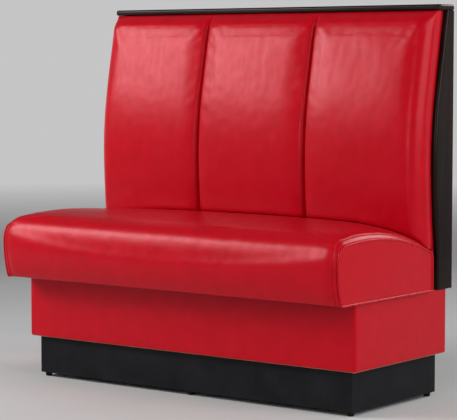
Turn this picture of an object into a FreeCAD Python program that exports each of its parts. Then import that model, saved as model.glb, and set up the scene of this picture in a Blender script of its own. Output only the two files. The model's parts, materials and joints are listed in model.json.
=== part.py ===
"""Single restaurant booth seat: upholstered seat unit and channelled back on a framed base.

Millimetres. The floor is z = 0, +X is the sitter's left seen from the front, and the booth
faces -Y. Places along the depth are given as distances forward of the booth's rear face.
"""
import FreeCAD, Part
import math
import os
import re
from FreeCAD import Vector

# Driving dimensions: alias, value, meaning
SIZES = [
    ("overall_height", 1067, "floor to the top of the cap"),
    ("overall_depth", 562, "rear face to the furthest point of the seat's front"),
    ("cap_width", 1143, "width of the cap and over the two end panels"),
    ("seat_overhang", 7.5, "seat's welt beyond the end panel, at each end"),
    ("base_inset", 5.5, "side of the base box inside the end panel's face"),
    ("plinth_side_recess", 22.5, "toe kick behind the base box at each end"),
    ("plinth_front_recess", 21, "toe kick behind the base box's front"),
    ("plinth_rear_recess", 16.5, "toe kick inside the base box's rear"),
    ("floor_gap", 12, "underside of the toe kick above the floor"),
    ("plinth_height", 108, "height of the toe kick's boards"),
    ("base_height", 177, "height of the base box"),
    ("plinth_board", 32, "thickness of the toe kick's boards, which carry the feet"),
    ("brace_drop", 20, "top of the toe kick's brace below the boards' top"),
    ("brace_board", 18, "thickness of the toe kick's brace"),
    ("plinth_block_side", 45, "side of the glue blocks in the toe kick's corners"),
    ("stud_radius", 4, "M8 stud of a levelling foot"),
    ("stud_top", 50, "top of the stud above the floor"),
    ("stud_clearance", 0.05, "stud to insert, on the radius"),
    ("stud_relief", 0.6, "stud to the board above its insert, on the radius"),
    ("stud_room", 10, "depth of the board's bore above the stud"),
    ("pad_radius", 10, "widest radius of a foot's pad"),
    ("pad_sole_radius", 7, "flat underside of a foot's pad"),
    ("pad_flare_degrees", 42, "slope of a pad's side where it leaves its underside"),
    ("pad_socket", 6, "floor of the stud's socket above the pad's underside"),
    ("insert_radius", 5.5, "outside of a threaded insert"),
    ("insert_length", 25, "length of a threaded insert"),
    ("base_recess", 97, "front of the base box behind the seat's front"),
    ("base_rear", 21, "rear face of the base box, forward of the rear face"),
    ("base_skin", 3, "vinyl and wadding round the base box"),
    ("base_skin_return", 30, "turn-in of the base's vinyl on the rear"),
    ("base_board", 18, "thickness of the base's rails"),
    ("base_deck_board", 15, "thickness of the base's bottom deck"),
    ("base_block_side", 40, "side of the base's corner blocks"),
    ("end_panel_board", 19, "thickness of an end panel"),
    ("end_panel_edge_flat", 2, "flat between the two roundings of an end panel's front edge"),
    ("lumbar_rise", 353, "where the end panel reaches furthest forward, above the base box"),
    ("back_foot_reach", 72, "front edge of the end panel at its foot, forward of the rear face"),
    ("lumbar_bulge", 16, "front edge at the lumbar point, forward of its foot"),
    ("back_top_reach", 30, "front edge of the end panel under the cap, forward of the rear face"),
    ("rib_board", 18, "thickness of the back's ribs"),
    ("backer_board", 6, "bent plywood that carries the back's foam"),
    ("outside_panel_board", 6, "panel that closes the back's rear"),
    ("top_rail_board", 18, "thickness of the rail under the cap"),
    ("top_rail_clearance", 1.2, "rail under the cap behind the backer board"),
    ("mid_rail_board", 18, "thickness of the rail let into the ribs"),
    ("mid_rail_height", 70, "height of that rail"),
    ("mid_rail_drop", 10, "centre of that rail below the lumbar point"),
    ("cap_overhang", 44, "front edge of the cap forward of the end panel's edge"),
    ("cap_thickness", 16, "thickness of the cap"),
    ("cap_edge_radius", 6, "rounding of the cap's edges"),
    ("cap_corner_radius", 9, "rounding of the cap's front corners seen from above"),
    ("cushion_inset", 5.5, "side of the back cushion inside the end panel's face"),
    ("cushion_side_tuck", 14, "how far its sides draw in from their edge to the end panels"),
    ("cushion_depth", 69, "back cushion at its seams, forward of the end panel's edge"),
    ("channel_rise", 13, "crest of a channel forward of its seams"),
    ("seam_tuck", 1.5, "width of the tuck between two channel fillings"),
    ("cushion_corner_radius", 26, "outer upright corners of the back cushion"),
    ("cushion_rise", 88, "lowest edge of the back cushion above the base box"),
    ("cushion_fade", 110, "height below the cap over which the channels fade out"),
    ("vinyl", 2, "thickness of the vinyl covers"),
    ("soft_gap", 0.3, "clearance of a soft face to its neighbour"),
    ("cap_gap", 1, "back cushion below the cap"),
    ("seat_clearance", 1, "back cushion above the seat cushion"),
    ("slide_gap", 0.3, "underside of the seat unit above the base box"),
    ("seat_stop_height", 60, "height of the strip that the seat's rear butts against"),
    ("seat_stop_board", 33.7, "thickness of that strip"),
    ("seat_foot_recess", 19, "lower edge of the seat's front behind its furthest point"),
    ("seat_end_recess", 6, "furthest front point of the seat's ends behind that of the middle"),
    ("seat_bulge_rise", 118, "furthest front point above the seat's underside"),
    ("seat_hem", 8, "straight hem at the foot of the seat's front"),
    ("shoulder_radius_mid", 60, "roll of the seat's front in the middle"),
    ("shoulder_radius_end", 35, "roll of the seat's front at its ends"),
    ("shoulder_degrees", 82.5, "turn of the roll from upright to the seat's top"),
    ("seat_rear_rise_mid", 177, "rear of the seat's top above its underside, in the middle"),
    ("seat_rear_rise_end", 112, "rear of the seat's top above its underside, at the ends"),
    ("seat_rear_corner", 20, "rounding at the rear of the seat's top"),
    ("seat_crown_run", 300, "distance from an end over which the seat rises to its full form"),
    ("welt_radius", 3, "piping round the seat's ends"),
    ("welt_proud", 1, "how far the piping stands out of the seat's outline"),
    ("boxing_skin", 3, "thickness of the seat's end panels"),
    ("seat_rail_board", 20, "thickness of the seat frame's rails"),
    ("seat_rail_height", 75, "height of the seat frame's rails"),
    ("seat_front_pad", 5, "front rail behind the foot of the seat's front"),
    ("hem_turn_in", 15, "hem of the seat cover under the rails"),
    ("dust_cover", 1.2, "thickness of the cloth under the seat"),
    ("dust_cover_gap", 0.2, "dust cover to the hem round it"),
    ("spring_wire_radius", 1.75, "wire of a sinuous spring"),
    ("spring_width", 46, "width of a sinuous spring"),
    ("spring_pitch", 27, "distance between two bars of a spring"),
    ("spring_spacing", 190, "distance between two springs"),
    ("clip_width", 22, "width of a spring clip"),
    ("clip_depth", 12, "depth of a spring clip"),
    ("clip_height", 6, "height of a spring clip"),
    ("clip_clearance", 0.1, "spring wire to its clip and rail"),
    ("spring_pad", 3, "insulator between springs and foam"),
    ("spring_pad_margin", 12, "edge of the insulator inside the frame"),
    ("bolt_radius", 4, "M8 bolt from a rib into the base"),
    ("bolt_head_radius", 6.5, "head of that bolt"),
    ("bolt_head_height", 5.3, "height of its head"),
    ("bolt_engagement", 14, "bolt's length in the base's side rail"),
    ("bolt_low", 45, "lower bolt above the base's deck"),
    ("bolt_pitch", 75, "distance between the two bolts of a side"),
    ("screw_radius", 2.2, "wood screw"),
    ("screw_head_radius", 4.4, "countersunk head of a wood screw"),
    ("screw_head_height", 2.6, "height of that head"),
    ("screw_bite", 11, "wood screw's length in the piece that it holds"),
    ("panel_screw_radius", 1.8, "small screw of the outside back panel"),
    ("panel_screw_head_radius", 3.6, "its countersunk head"),
    ("panel_screw_head_height", 2, "height of that head"),
    ("panel_screw_length", 24, "length of that screw"),
    ("screw_margin", 60, "first screw from the end of the joint that it holds"),
    ("overrun", 40, "length by which a cutting solid passes what it cuts"),
]
# Dimensions that follow from the driving ones: alias, expression, meaning
WORKED_OUT = [
    ("seat_width", "cap_width + 2 * seat_overhang", "over the seat's welts"),
    ("base_width", "cap_width - 2 * base_inset", "width of the base box"),
    ("end_panel_edge_radius", "(end_panel_board - end_panel_edge_flat) / 2",
     "rounding of an end panel's front edges"),
    ("plinth_width", "base_width - 2 * plinth_side_recess", "width of the toe kick"),
    ("cushion_width", "cap_width - 2 * cushion_inset", "back cushion at its widest"),
    ("seam_spacing", "cushion_width / 3", "width of each of the back's three channels"),
    ("plinth_top", "floor_gap + plinth_height", "top of the toe kick above the floor"),
    ("seat_bottom", "plinth_top + base_height", "top of the base box above the floor"),
    ("lumbar_height", "seat_bottom + lumbar_rise", "lumbar point above the floor"),
    ("mid_rail_centre", "lumbar_height - mid_rail_drop", "centre of the rail let into the ribs"),
    ("cushion_low", "seat_bottom + cushion_rise", "lowest edge of the back cushion"),
    ("base_front", "overall_depth - base_recess", "front of the base box from the rear face"),
    ("plinth_front", "base_front - plinth_front_recess", "front of the toe kick from the rear face"),
    ("plinth_rear", "base_rear + plinth_rear_recess", "rear of the toe kick from the rear face"),
    ("lumbar_reach", "back_foot_reach + lumbar_bulge", "panel's edge at the lumbar point"),
    ("cap_depth", "back_top_reach + cap_overhang", "front edge of the cap from the rear face"),
    ("top_rail_front", "back_top_reach - backer_board - top_rail_clearance",
     "front of the rail under the cap"),
    ("seat_rear", "back_foot_reach + seat_stop_board + soft_gap", "rear of the seat"),
    ("seat_foot", "overall_depth - seat_foot_recess", "lower edge of the seat's front"),
    ("seat_end_front", "overall_depth - seat_end_recess", "front of the seat's ends"),
]
ALIASES = {alias for alias, value, meaning in SIZES}
FOLLOWERS = {alias for alias, text, meaning in WORKED_OUT}

# Upper back: share of its height at which the upright and the straight lean would meet
UPPER_BEND_SHARE = 0.25
# Lower back: share of the lumbar rise that is curved, and the lumbar arc's share of that curve
LOWER_CURVE_SHARE = 0.75
LUMBAR_ARC_SHARE = 0.81
# From the seat's end inwards: distance share, share of the front's form, share of the rear's form
CROWN_SHARES = [(0, 0, 0), (0.03, 0.5, 0.09), (0.07, 0.8, 0.19), (0.14, 0.95, 0.33),
                (0.27, 1, 0.54), (0.55, 1, 0.86), (1, 1, 1)]
END_SHARES = (0, 0)
# Heights of the back cushion's sections below the fade, shares of the way up to it
CUSHION_LEVEL_SHARES = [0, 0.18, 0.38, 0.58, 0.78, 0.92]
# Fade under the cap: share of the fade's height, share of the depth, share of the channel rise
FADE_SHARES = [(0, 1, 1), (0.4, 0.95, 0.6), (0.68, 0.905, 0.2), (0.86, 0.81, 0.05), (1, 0.58, 0.02)]
# Upright places of the screws that hold an end panel and of those of the outside panel
SCREW_SHARES = [0, 1 / 3, 2 / 3, 1]
FEET = {"front_left": (-1, 1), "front_middle": (0, 1), "front_right": (1, 1),
        "rear_left": (-1, 0), "rear_middle": (0, 0), "rear_right": (1, 0)}
SIDES = {"left": -1, "right": 1}
CAP_SCREW_COUNT = 5
# Bow in radians below which a stretch of an outline counts as straight
STRAIGHT_BOW = 1e-6

doc = FreeCAD.newDocument("booth")
sheet = doc.addObject("Spreadsheet::Sheet", "sizes")
for row, (alias, value, meaning) in enumerate(SIZES, start=1):
    sheet.set("A%d" % row, meaning)
    sheet.set("B%d" % row, str(value))
    sheet.setAlias("B%d" % row, alias)

subparts = []


def with_sheets(text, followers_prefix):
    """Expression with the sheet of each dimension written before its name."""
    def prefixed(word):
        if word[0] in ALIASES:
            return "sizes." + word[0]
        return followers_prefix + word[0] if word[0] in FOLLOWERS else word[0]
    return re.sub(r"[a-z_]+", prefixed, text)


follow_sheet = doc.addObject("Spreadsheet::Sheet", "worked_out")
for row, (alias, text, meaning) in enumerate(WORKED_OUT, start=1):
    follow_sheet.set("A%d" % row, meaning)
    follow_sheet.set("B%d" % row, "=" + with_sheets(text, ""))
    follow_sheet.setAlias("B%d" % row, alias)
doc.recompute()


def size(alias):
    """Value of a dimension, driving or worked out."""
    return float((sheet if alias in ALIASES else follow_sheet).get(alias))


def bind(target, prop, text):
    """Bind a property to an expression that names dimensions."""
    target.setExpression(prop, with_sheets(text, "worked_out."))


def keep(piece):
    """Take a piece into the list of sub-parts that are written out."""
    subparts.append(piece)
    return piece


def board(label, across, ahead, up):
    """Straight board between two places across, forward of the rear face and upwards."""
    piece = doc.addObject("Part::Box", label)
    piece.Label = label
    bind(piece, "Length", "(%s) - (%s)" % (across[1], across[0]))
    bind(piece, "Width", "(%s) - (%s)" % (ahead[1], ahead[0]))
    bind(piece, "Height", "(%s) - (%s)" % (up[1], up[0]))
    bind(piece, "Placement.Base.x", across[0])
    bind(piece, "Placement.Base.y", "overall_depth / 2 - (%s)" % ahead[1])
    bind(piece, "Placement.Base.z", up[0])
    return piece


def mirrored(side, inner, outer):
    """Places across of a piece that lies between two distances from the middle, on one side."""
    if side > 0:
        return (inner, outer)
    return ("-(%s)" % outer, "-(%s)" % inner)


def cylinder(label, radius, height, x, ahead, z):
    """Upright cylinder on a centre."""
    piece = doc.addObject("Part::Cylinder", label)
    piece.Label = label
    bind(piece, "Radius", radius)
    bind(piece, "Height", height)
    bind(piece, "Placement.Base.x", x)
    bind(piece, "Placement.Base.y", "overall_depth / 2 - (%s)" % ahead)
    bind(piece, "Placement.Base.z", z)
    return piece


def cut(label, base, tool):
    """Piece with another one's shape taken out of it."""
    piece = doc.addObject("Part::Cut", label)
    piece.Label = label
    piece.Base = base
    piece.Tool = tool
    return piece


def group(label, members):
    """Separate solids of one kind, kept as one sub-part."""
    piece = doc.addObject("Part::Compound", label)
    piece.Label = label
    piece.Links = members
    return piece


def shaped(label, shape):
    """Sub-part whose form is worked out from the driving dimensions below."""
    piece = doc.addObject("Part::Feature", label)
    piece.Label = label
    piece.Shape = shape
    piece.Placement = shape.Placement
    return piece


def origin_plane(body, role):
    return next(plane for plane in body.Origin.OriginFeatures if plane.Role == role)


def sketch_on(body, role, edges, name):
    """Sketch on one of a body's own origin planes, holding flat edges in order."""
    sketch = body.newObject("Sketcher::SketchObject", name)
    sketch.AttachmentSupport = (origin_plane(body, role), "")
    sketch.MapMode = "FlatFace"
    for edge in edges:
        sketch.addGeometry(edge, False)
    return sketch


def padded_profile(label, edges, thickness, x):
    """Board cut to an outline in the upright fore-and-aft plane."""
    body = doc.addObject("PartDesign::Body", label)
    body.Label = label
    sketch = sketch_on(body, "YZ_Plane", edges, label + "_outline")
    pad = body.newObject("PartDesign::Pad", label + "_pad")
    pad.Profile = sketch
    bind(pad, "Length", thickness)
    bind(body, "Placement.Base.x", x)
    return body


def line_2d(start, end):
    return Part.LineSegment(Vector(start[0], start[1], 0), Vector(end[0], end[1], 0))


def arc_2d(start, middle, end):
    points = [Vector(place[0], place[1], 0) for place in (start, middle, end)]
    return Part.Arc(*points)


# Outlines are chains of joints: (forward, up, heading). Heading is the chain's direction in
# radians there, so each stretch is the line or the one arc that leaves a joint along its heading.

def arrive(joint, forward, up):
    """Joint at the end of the arc that leaves a joint and reaches a point."""
    chord = math.atan2(up - joint[1], forward - joint[0])
    return (forward, up, 2 * chord - joint[2])


def arc_middle(start, end):
    """Middle of the arc from one joint to the next, or None for a straight stretch."""
    run = end[0] - start[0]
    rise = end[1] - start[1]
    bow = start[2] - math.atan2(rise, run)
    bow = math.atan2(math.sin(bow), math.cos(bow))
    if abs(bow) < STRAIGHT_BOW:
        return None
    reach = math.tan(bow / 2) / 2
    return ((start[0] + end[0]) / 2 - rise * reach, (start[1] + end[1]) / 2 + run * reach)


def moved_inside(joint, distance):
    """Joint moved to the left of its heading."""
    forward = joint[0] - distance * math.sin(joint[2])
    up = joint[1] + distance * math.cos(joint[2])
    return (forward, up, joint[2])


def outline(joints, place, line, arc):
    """Edges through a chain of joints."""
    edges = []
    for start, end in zip(joints, joints[1:]):
        middle = arc_middle(start, end)
        if middle is None:
            edges.append(line(place(start), place(end)))
        else:
            edges.append(arc(place(start), place(middle), place(end)))
    return edges


def flat_place(point):
    """Place in a sketch on the upright fore-and-aft plane."""
    return (size("overall_depth") / 2 - point[0], point[1])


def closed_outline(joints, corners):
    """Edges of a chain of joints closed through square corners, for a sketch."""
    edges = outline(joints, flat_place, line_2d, arc_2d)
    points = [flat_place(joints[-1])]
    points += [flat_place(corner) for corner in corners]
    points.append(flat_place(joints[0]))
    for start, end in zip(points, points[1:]):
        edges.append(line_2d(start, end))
    return edges


def upper_back():
    """Lean in radians and radius of the back above the lumbar point."""
    height = size("overall_height") - size("cap_thickness") - size("lumbar_height")
    bend = UPPER_BEND_SHARE * height
    lean = math.atan2(size("lumbar_reach") - size("back_top_reach"), height - bend)
    return lean, bend / math.tan(lean / 2)


def lower_back():
    """Turn in radians and the two radii of the back's curve below the lumbar point."""
    height = LOWER_CURVE_SHARE * size("lumbar_rise")
    turn = 2 * math.atan2(size("lumbar_bulge"), height)
    both = height / math.sin(turn)
    return turn, LUMBAR_ARC_SHARE * both, (1 - LUMBAR_ARC_SHARE) * both


def back_line(low, high, inset):
    """Chain up the front edge of the back's boards, inset behind the end panel's edge."""
    upright = math.pi / 2
    lean, upper = upper_back()
    turn, lower, blend = lower_back()
    reach = size("lumbar_reach")
    lumbar = size("lumbar_height")
    foot = size("back_foot_reach")
    joints = [(foot, lumbar - (lower + blend) * math.sin(turn), upright),
              (reach - lower * (1 - math.cos(turn)), lumbar - lower * math.sin(turn), upright - turn),
              (reach, lumbar, upright),
              (reach - upper * (1 - math.cos(lean)), lumbar + upper * math.sin(lean), upright + lean)]
    joints = [moved_inside(joint, inset) for joint in joints]
    last = joints[-1]
    top_reach = last[0] + (high - last[1]) / math.tan(last[2])
    return [(joints[0][0], low, upright)] + joints + [(top_reach, high, last[2])]


def back_depth(height):
    """How far forward of the rear face the end panel's front edge lies at a height."""
    lean, upper = upper_back()
    turn, lower, blend = lower_back()
    above = height - size("lumbar_height")
    reach = size("lumbar_reach")
    if above >= upper * math.sin(lean):
        straight = above - upper * math.sin(lean)
        return reach - upper * (1 - math.cos(lean)) - straight * math.tan(lean)
    if above >= 0:
        return reach - upper + math.sqrt(upper ** 2 - above ** 2)
    if above >= -lower * math.sin(turn):
        return reach - lower + math.sqrt(lower ** 2 - above ** 2)
    left = max(0, (lower + blend) * math.sin(turn) + above)
    return size("back_foot_reach") + blend - math.sqrt(blend ** 2 - left ** 2)


def board_up_the_back(label, front_inset, rear_inset, low, high, thickness, x):
    """Bent board between two lines that follow the back."""
    front = back_line(low, high, front_inset)
    rear = back_line(low, high, rear_inset)
    edges = outline(front, flat_place, line_2d, arc_2d)
    edges.append(line_2d(flat_place(front[-1]), flat_place(rear[-1])))
    edges += outline(rear, flat_place, line_2d, arc_2d)
    edges.append(line_2d(flat_place(rear[0]), flat_place(front[0])))
    return padded_profile(label, edges, thickness, x)


def foot_centre(side, front):
    """Place of a foot under the middle of a board, as expressions: across and forward."""
    x = "%d * (plinth_width - plinth_board) / 2" % side
    ahead = "plinth_front - plinth_board / 2" if front else "plinth_rear + plinth_board / 2"
    return x, ahead


def make_plinth():
    """Toe kick: front and rear boards bored for the feet, side boards, brace and glue blocks."""
    up = ("floor_gap", "plinth_top")
    full = ("-plinth_width / 2", "plinth_width / 2")
    inner_rear = "plinth_rear + plinth_board"
    inner_front = "plinth_front - plinth_board"
    blanks = [board("plinth_rear_blank", full, ("plinth_rear", inner_rear), up),
              board("plinth_front_blank", full, (inner_front, "plinth_front"), up)]
    bores = [[], []]
    inserts = []
    for name, (side, front) in FEET.items():
        x, ahead = foot_centre(side, front)
        bores[front].append(cylinder("bore_" + name, "insert_radius", "insert_length", x, ahead,
                                     "floor_gap"))
        bores[front].append(cylinder("relief_" + name, "stud_radius + stud_relief",
                                     "stud_top - floor_gap + stud_room", x, ahead, "floor_gap"))
        outside = cylinder("insert_%s_outside" % name, "insert_radius", "insert_length", x, ahead,
                           "floor_gap")
        thread = cylinder("insert_%s_thread" % name, "stud_radius + stud_clearance",
                          "insert_length", x, ahead, "floor_gap")
        inserts.append(cut("insert_" + name, outside, thread))
    for label, blank, tools in zip(("plinth_rear_board", "plinth_front_board"), blanks, bores):
        keep(cut(label, blank, group(label + "_bores", tools)))
    for name, side in SIDES.items():
        across = mirrored(side, "plinth_width / 2 - plinth_board", "plinth_width / 2")
        keep(board("plinth_%s_board" % name, across, (inner_rear, inner_front), up))
    brace_up = ("floor_gap", "plinth_top - brace_drop")
    keep(board("plinth_cross_brace", ("-brace_board / 2", "brace_board / 2"),
               (inner_rear, inner_front), brace_up))
    blocks = []
    for name, side in SIDES.items():
        inner = "plinth_width / 2 - plinth_board"
        across = mirrored(side, inner + " - plinth_block_side", inner)
        blocks.append(board("plinth_block_front_" + name, across,
                            (inner_front + " - plinth_block_side", inner_front), brace_up))
        blocks.append(board("plinth_block_rear_" + name, across,
                            (inner_rear, inner_rear + " + plinth_block_side"), brace_up))
    keep(group("plinth_corner_blocks", blocks))
    return inserts


def make_foot_pad(name, x, ahead):
    """Nylon dome with a socket for its stud, turned about its own axis."""
    label = "foot_%s_pad" % name
    body = doc.addObject("PartDesign::Body", label)
    body.Label = label
    sole = size("pad_sole_radius")
    wide = size("pad_radius")
    top = size("floor_gap")
    stud = size("stud_radius")
    socket = size("pad_socket")
    low = (sole, 0, math.radians(size("pad_flare_degrees")))
    edges = [line_2d((0, 0), (sole, 0)),
             arc_2d((sole, 0), arc_middle(low, (wide, top / 2)), (wide, top / 2)),
             line_2d((wide, top / 2), (wide, top)),
             line_2d((wide, top), (stud, top)),
             line_2d((stud, top), (stud, socket)),
             line_2d((stud, socket), (0, socket)),
             line_2d((0, socket), (0, 0))]
    sketch = sketch_on(body, "XZ_Plane", edges, label + "_profile")
    turned = body.newObject("PartDesign::Revolution", label + "_turned")
    turned.Profile = sketch
    turned.ReferenceAxis = (sketch, ["V_Axis"])
    turned.Angle = 360
    bind(body, "Placement.Base.x", x)
    bind(body, "Placement.Base.y", "overall_depth / 2 - (%s)" % ahead)
    return body


def make_feet():
    """Levelling feet: each a pad on a stud that screws into its insert."""
    for name, (side, front) in FEET.items():
        x, ahead = foot_centre(side, front)
        keep(make_foot_pad(name, x, ahead))
        keep(cylinder("foot_%s_stud" % name, "stud_radius", "stud_top - pad_socket", x, ahead,
                      "pad_socket"))


BASE_HALF = "base_width / 2 - base_skin"
BASE_UP = ("plinth_top + base_deck_board", "seat_bottom")
RAIL_REAR = "base_rear + base_skin + base_board"
RAIL_FRONT = "base_front - base_skin - base_board"


def make_base_frame():
    """Box of boards under the seat."""
    full = ("-(%s)" % BASE_HALF, BASE_HALF)
    keep(board("base_deck", full, ("base_rear + base_skin", "base_front - base_skin"),
               ("plinth_top", "plinth_top + base_deck_board")))
    keep(board("base_front_rail", full, (RAIL_FRONT, "base_front - base_skin"), BASE_UP))
    keep(board("base_rear_rail", full, ("base_rear + base_skin", RAIL_REAR), BASE_UP))
    keep(board("base_centre_divider", ("-base_board / 2", "base_board / 2"), (RAIL_REAR, RAIL_FRONT),
               BASE_UP))
    blocks = []
    for name, side in SIDES.items():
        inner = BASE_HALF + " - base_board"
        across = mirrored(side, inner + " - base_block_side", inner)
        blocks.append(board("base_block_front_%s" % name, across,
                            (RAIL_FRONT + " - base_block_side", RAIL_FRONT), BASE_UP))
    keep(group("base_corner_blocks", blocks))


def make_base_cover():
    """Vinyl round the front and sides of the base, turned in on the rear."""
    half = size("base_width") / 2
    front = size("overall_depth") / 2 - size("base_front")
    rear = size("overall_depth") / 2 - size("base_rear")
    skin = size("base_skin")
    turn_in = half - size("base_skin_return")
    bend = skin * (1 - math.sqrt(0.5))
    edges = []
    for side in SIDES.values():
        wide = side * half
        inner = side * (half - skin)
        back = side * turn_in
        edges += [line_2d((back, rear - skin), (back, rear)),
                  line_2d((back, rear), (inner, rear)),
                  arc_2d((inner, rear), (wide - side * bend, rear - bend), (wide, rear - skin)),
                  line_2d((wide, rear - skin), (wide, front + skin)),
                  arc_2d((wide, front + skin), (wide - side * bend, front + bend), (inner, front)),
                  line_2d((inner, front + skin), (inner, rear - skin)),
                  line_2d((inner, rear - skin), (back, rear - skin))]
    edges += [line_2d((skin - half, front), (half - skin, front)),
              line_2d((skin - half, front + skin), (half - skin, front + skin))]
    body = doc.addObject("PartDesign::Body", "base_cover")
    body.Label = "base_cover"
    sketch = sketch_on(body, "XY_Plane", edges, "base_cover_outline")
    pad = body.newObject("PartDesign::Pad", "base_cover_pad")
    pad.Profile = sketch
    bind(pad, "Length", "seat_bottom - plinth_top")
    bind(body, "Placement.Base.z", "plinth_top")
    return body


def screw(radius, head_radius, head_height, length):
    """Countersunk screw along +Z, the flat of its head at zero."""
    cone = Part.makeCone(head_radius, radius, head_height)
    shank = Part.makeCylinder(radius, length)
    return cone.fuse(shank).removeSplitter()


def placed(shape, direction, x, ahead, z):
    """Copy of a shape that lies along +Z, turned along a direction and moved to a place."""
    turn = FreeCAD.Rotation(Vector(0, 0, 1), direction)
    copy = shape.copy()
    copy.Placement = FreeCAD.Placement(Vector(x, size("overall_depth") / 2 - ahead, z), turn)
    return copy


def rib_inner_face():
    """Inner face of the leg of an outer rib, from the middle."""
    return size("base_width") / 2 - size("base_skin") - size("base_board") - size("rib_board")


def make_frame_screws():
    """Wood screws: ribs into the end panels, and top rail into the cap."""
    panel_face = size("cap_width") / 2 - size("end_panel_board")
    rib_face = rib_inner_face()
    long_screw = screw(size("screw_radius"), size("screw_head_radius"), size("screw_head_height"),
                       panel_face - rib_face + size("screw_bite"))
    low = size("seat_bottom") + size("screw_margin")
    high = size("overall_height") - size("cap_thickness") - size("screw_margin")
    copies = []
    for share in SCREW_SHARES:
        height = low + share * (high - low)
        ahead = back_depth(height) / 2
        copies.append(placed(long_screw, Vector(1, 0, 0), rib_face, ahead, height))
        copies.append(placed(long_screw, Vector(-1, 0, 0), -rib_face, ahead, height))
    short_screw = screw(size("screw_radius"), size("screw_head_radius"), size("screw_head_height"),
                        size("top_rail_board") + size("screw_bite"))
    rail_low = size("overall_height") - size("cap_thickness") - size("top_rail_board")
    ahead = (size("outside_panel_board") + size("top_rail_front")) / 2
    span = 2 * (rib_face - size("screw_margin"))
    for index in range(CAP_SCREW_COUNT):
        x = span * (index / (CAP_SCREW_COUNT - 1) - 0.5)
        copies.append(placed(short_screw, Vector(0, 0, 1), x, ahead, rail_low))
    return shaped("frame_wood_screws", Part.makeCompound(copies))


def rib_centres():
    """Places across of the four ribs' middles, where the outside panel is screwed on."""
    outer = rib_inner_face() + size("rib_board") / 2
    seam = size("seam_spacing") / 2
    return [-outer, -seam, seam, outer]


def make_panel_screws():
    """Small screws of the outside back panel."""
    one = screw(size("panel_screw_radius"), size("panel_screw_head_radius"),
                size("panel_screw_head_height"), size("panel_screw_length"))
    low = size("seat_bottom") + size("screw_margin") / 2
    high = size("overall_height") - size("cap_thickness") - size("top_rail_board")
    high -= size("screw_margin") / 2
    copies = []
    for x in rib_centres():
        for share in SCREW_SHARES:
            height = low + share * (high - low)
            copies.append(placed(one, Vector(0, -1, 0), x, 0, height))
    return shaped("outside_panel_screws", Part.makeCompound(copies))


def make_bolts(inserts):
    """M8 bolts that clamp the outer ribs' legs to the base, and their inserts."""
    rib_face = rib_inner_face()
    rib = size("rib_board")
    ahead = (size("base_rear") + size("base_skin") + size("base_board")
             + back_depth(size("seat_bottom")) - size("backer_board")) / 2
    deck = size("plinth_top") + size("base_deck_board")
    shank = Part.makeCylinder(size("bolt_radius"), rib + size("bolt_engagement"))
    flats = Part.Wire(Part.makePolygon(hexagon(size("bolt_head_radius"))))
    head = Part.Face(flats).extrude(Vector(0, 0, -size("bolt_head_height")))
    bolt = shank.fuse(head).removeSplitter()
    bore = Part.makeCylinder(size("bolt_radius"), size("bolt_engagement"))
    insert = Part.makeCylinder(size("insert_radius"), size("bolt_engagement")).cut(bore)
    bolts = []
    for side in SIDES.values():
        for height in (deck + size("bolt_low"), deck + size("bolt_low") + size("bolt_pitch")):
            out = Vector(side, 0, 0)
            bolts.append(placed(bolt, out, side * rib_face, ahead, height))
            inserts.append(shaped("rail_insert_%d" % len(inserts),
                                  placed(insert, out, side * (rib_face + rib), ahead, height)))
    return (keep(group("threaded_inserts", inserts)),
            keep(shaped("back_to_base_bolts", Part.makeCompound(bolts))))


def hexagon(radius):
    """Corners of a closed hexagon about the origin."""
    points = []
    for corner in range(7):
        angle = math.pi * corner / 3
        points.append(Vector(radius * math.cos(angle), radius * math.sin(angle), 0))
    return points


def rib_outline(with_leg):
    """Outline of a rib: leg inside the base, notch for the mid rail, curved front."""
    high = size("overall_height") - size("cap_thickness") - size("top_rail_board")
    seat = size("seat_bottom")
    low = size("plinth_top") + size("base_deck_board") if with_leg else seat
    front = back_line(low, high, size("backer_board"))
    rear = size("outside_panel_board")
    notch = rear + size("mid_rail_board")
    notch_low = size("mid_rail_centre") - size("mid_rail_height") / 2
    notch_high = notch_low + size("mid_rail_height")
    corners = [(rear, high), (rear, notch_high), (notch, notch_high), (notch, notch_low),
               (rear, notch_low), (rear, seat)]
    if with_leg:
        leg = size("base_rear") + size("base_skin") + size("base_board")
        corners += [(leg, seat), (leg, low)]
    return closed_outline(front, corners)


def make_ribs(screws, panel_screws, bolts):
    """Four ribs that carry the back, their legs standing on the base's deck."""
    rail_face = "(%s - base_board)" % BASE_HALF
    panel_face = "(cap_width / 2 - end_panel_board)"
    for name, side in SIDES.items():
        across = mirrored(side, rail_face + " - rib_board", rail_face)
        blank = padded_profile("rib_%s_blank" % name, rib_outline(True), "rib_board", across[0])
        across = mirrored(side, rail_face, panel_face)
        packer = padded_profile("rib_%s_packer" % name, rib_outline(False),
                                panel_face + " - " + rail_face, across[0])
        whole = doc.addObject("Part::Fuse", "rib_%s_whole" % name)
        whole.Base = blank
        whole.Tool = packer
        whole.Refine = True
        bolted = cut("rib_%s_bolted" % name, whole, bolts)
        screwed = cut("rib_%s_screwed" % name, bolted, screws)
        keep(cut("back_rib_%s" % name, screwed, panel_screws))
        inner = padded_profile("rib_inner_%s_blank" % name, rib_outline(True), "rib_board",
                               "%d * seam_spacing / 2 - rib_board / 2" % side)
        keep(cut("back_rib_inner_%s" % name, inner, panel_screws))


def make_base_side_rails(inserts, bolts):
    """Side rails of the base, bored for the inserts and bolts of the back."""
    for name, side in SIDES.items():
        across = mirrored(side, BASE_HALF + " - base_board", BASE_HALF)
        blank = board("base_%s_rail_blank" % name, across, (RAIL_REAR, RAIL_FRONT), BASE_UP)
        bored = cut("base_%s_rail_bored" % name, blank, inserts)
        keep(cut("base_%s_rail" % name, bored, bolts))


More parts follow.
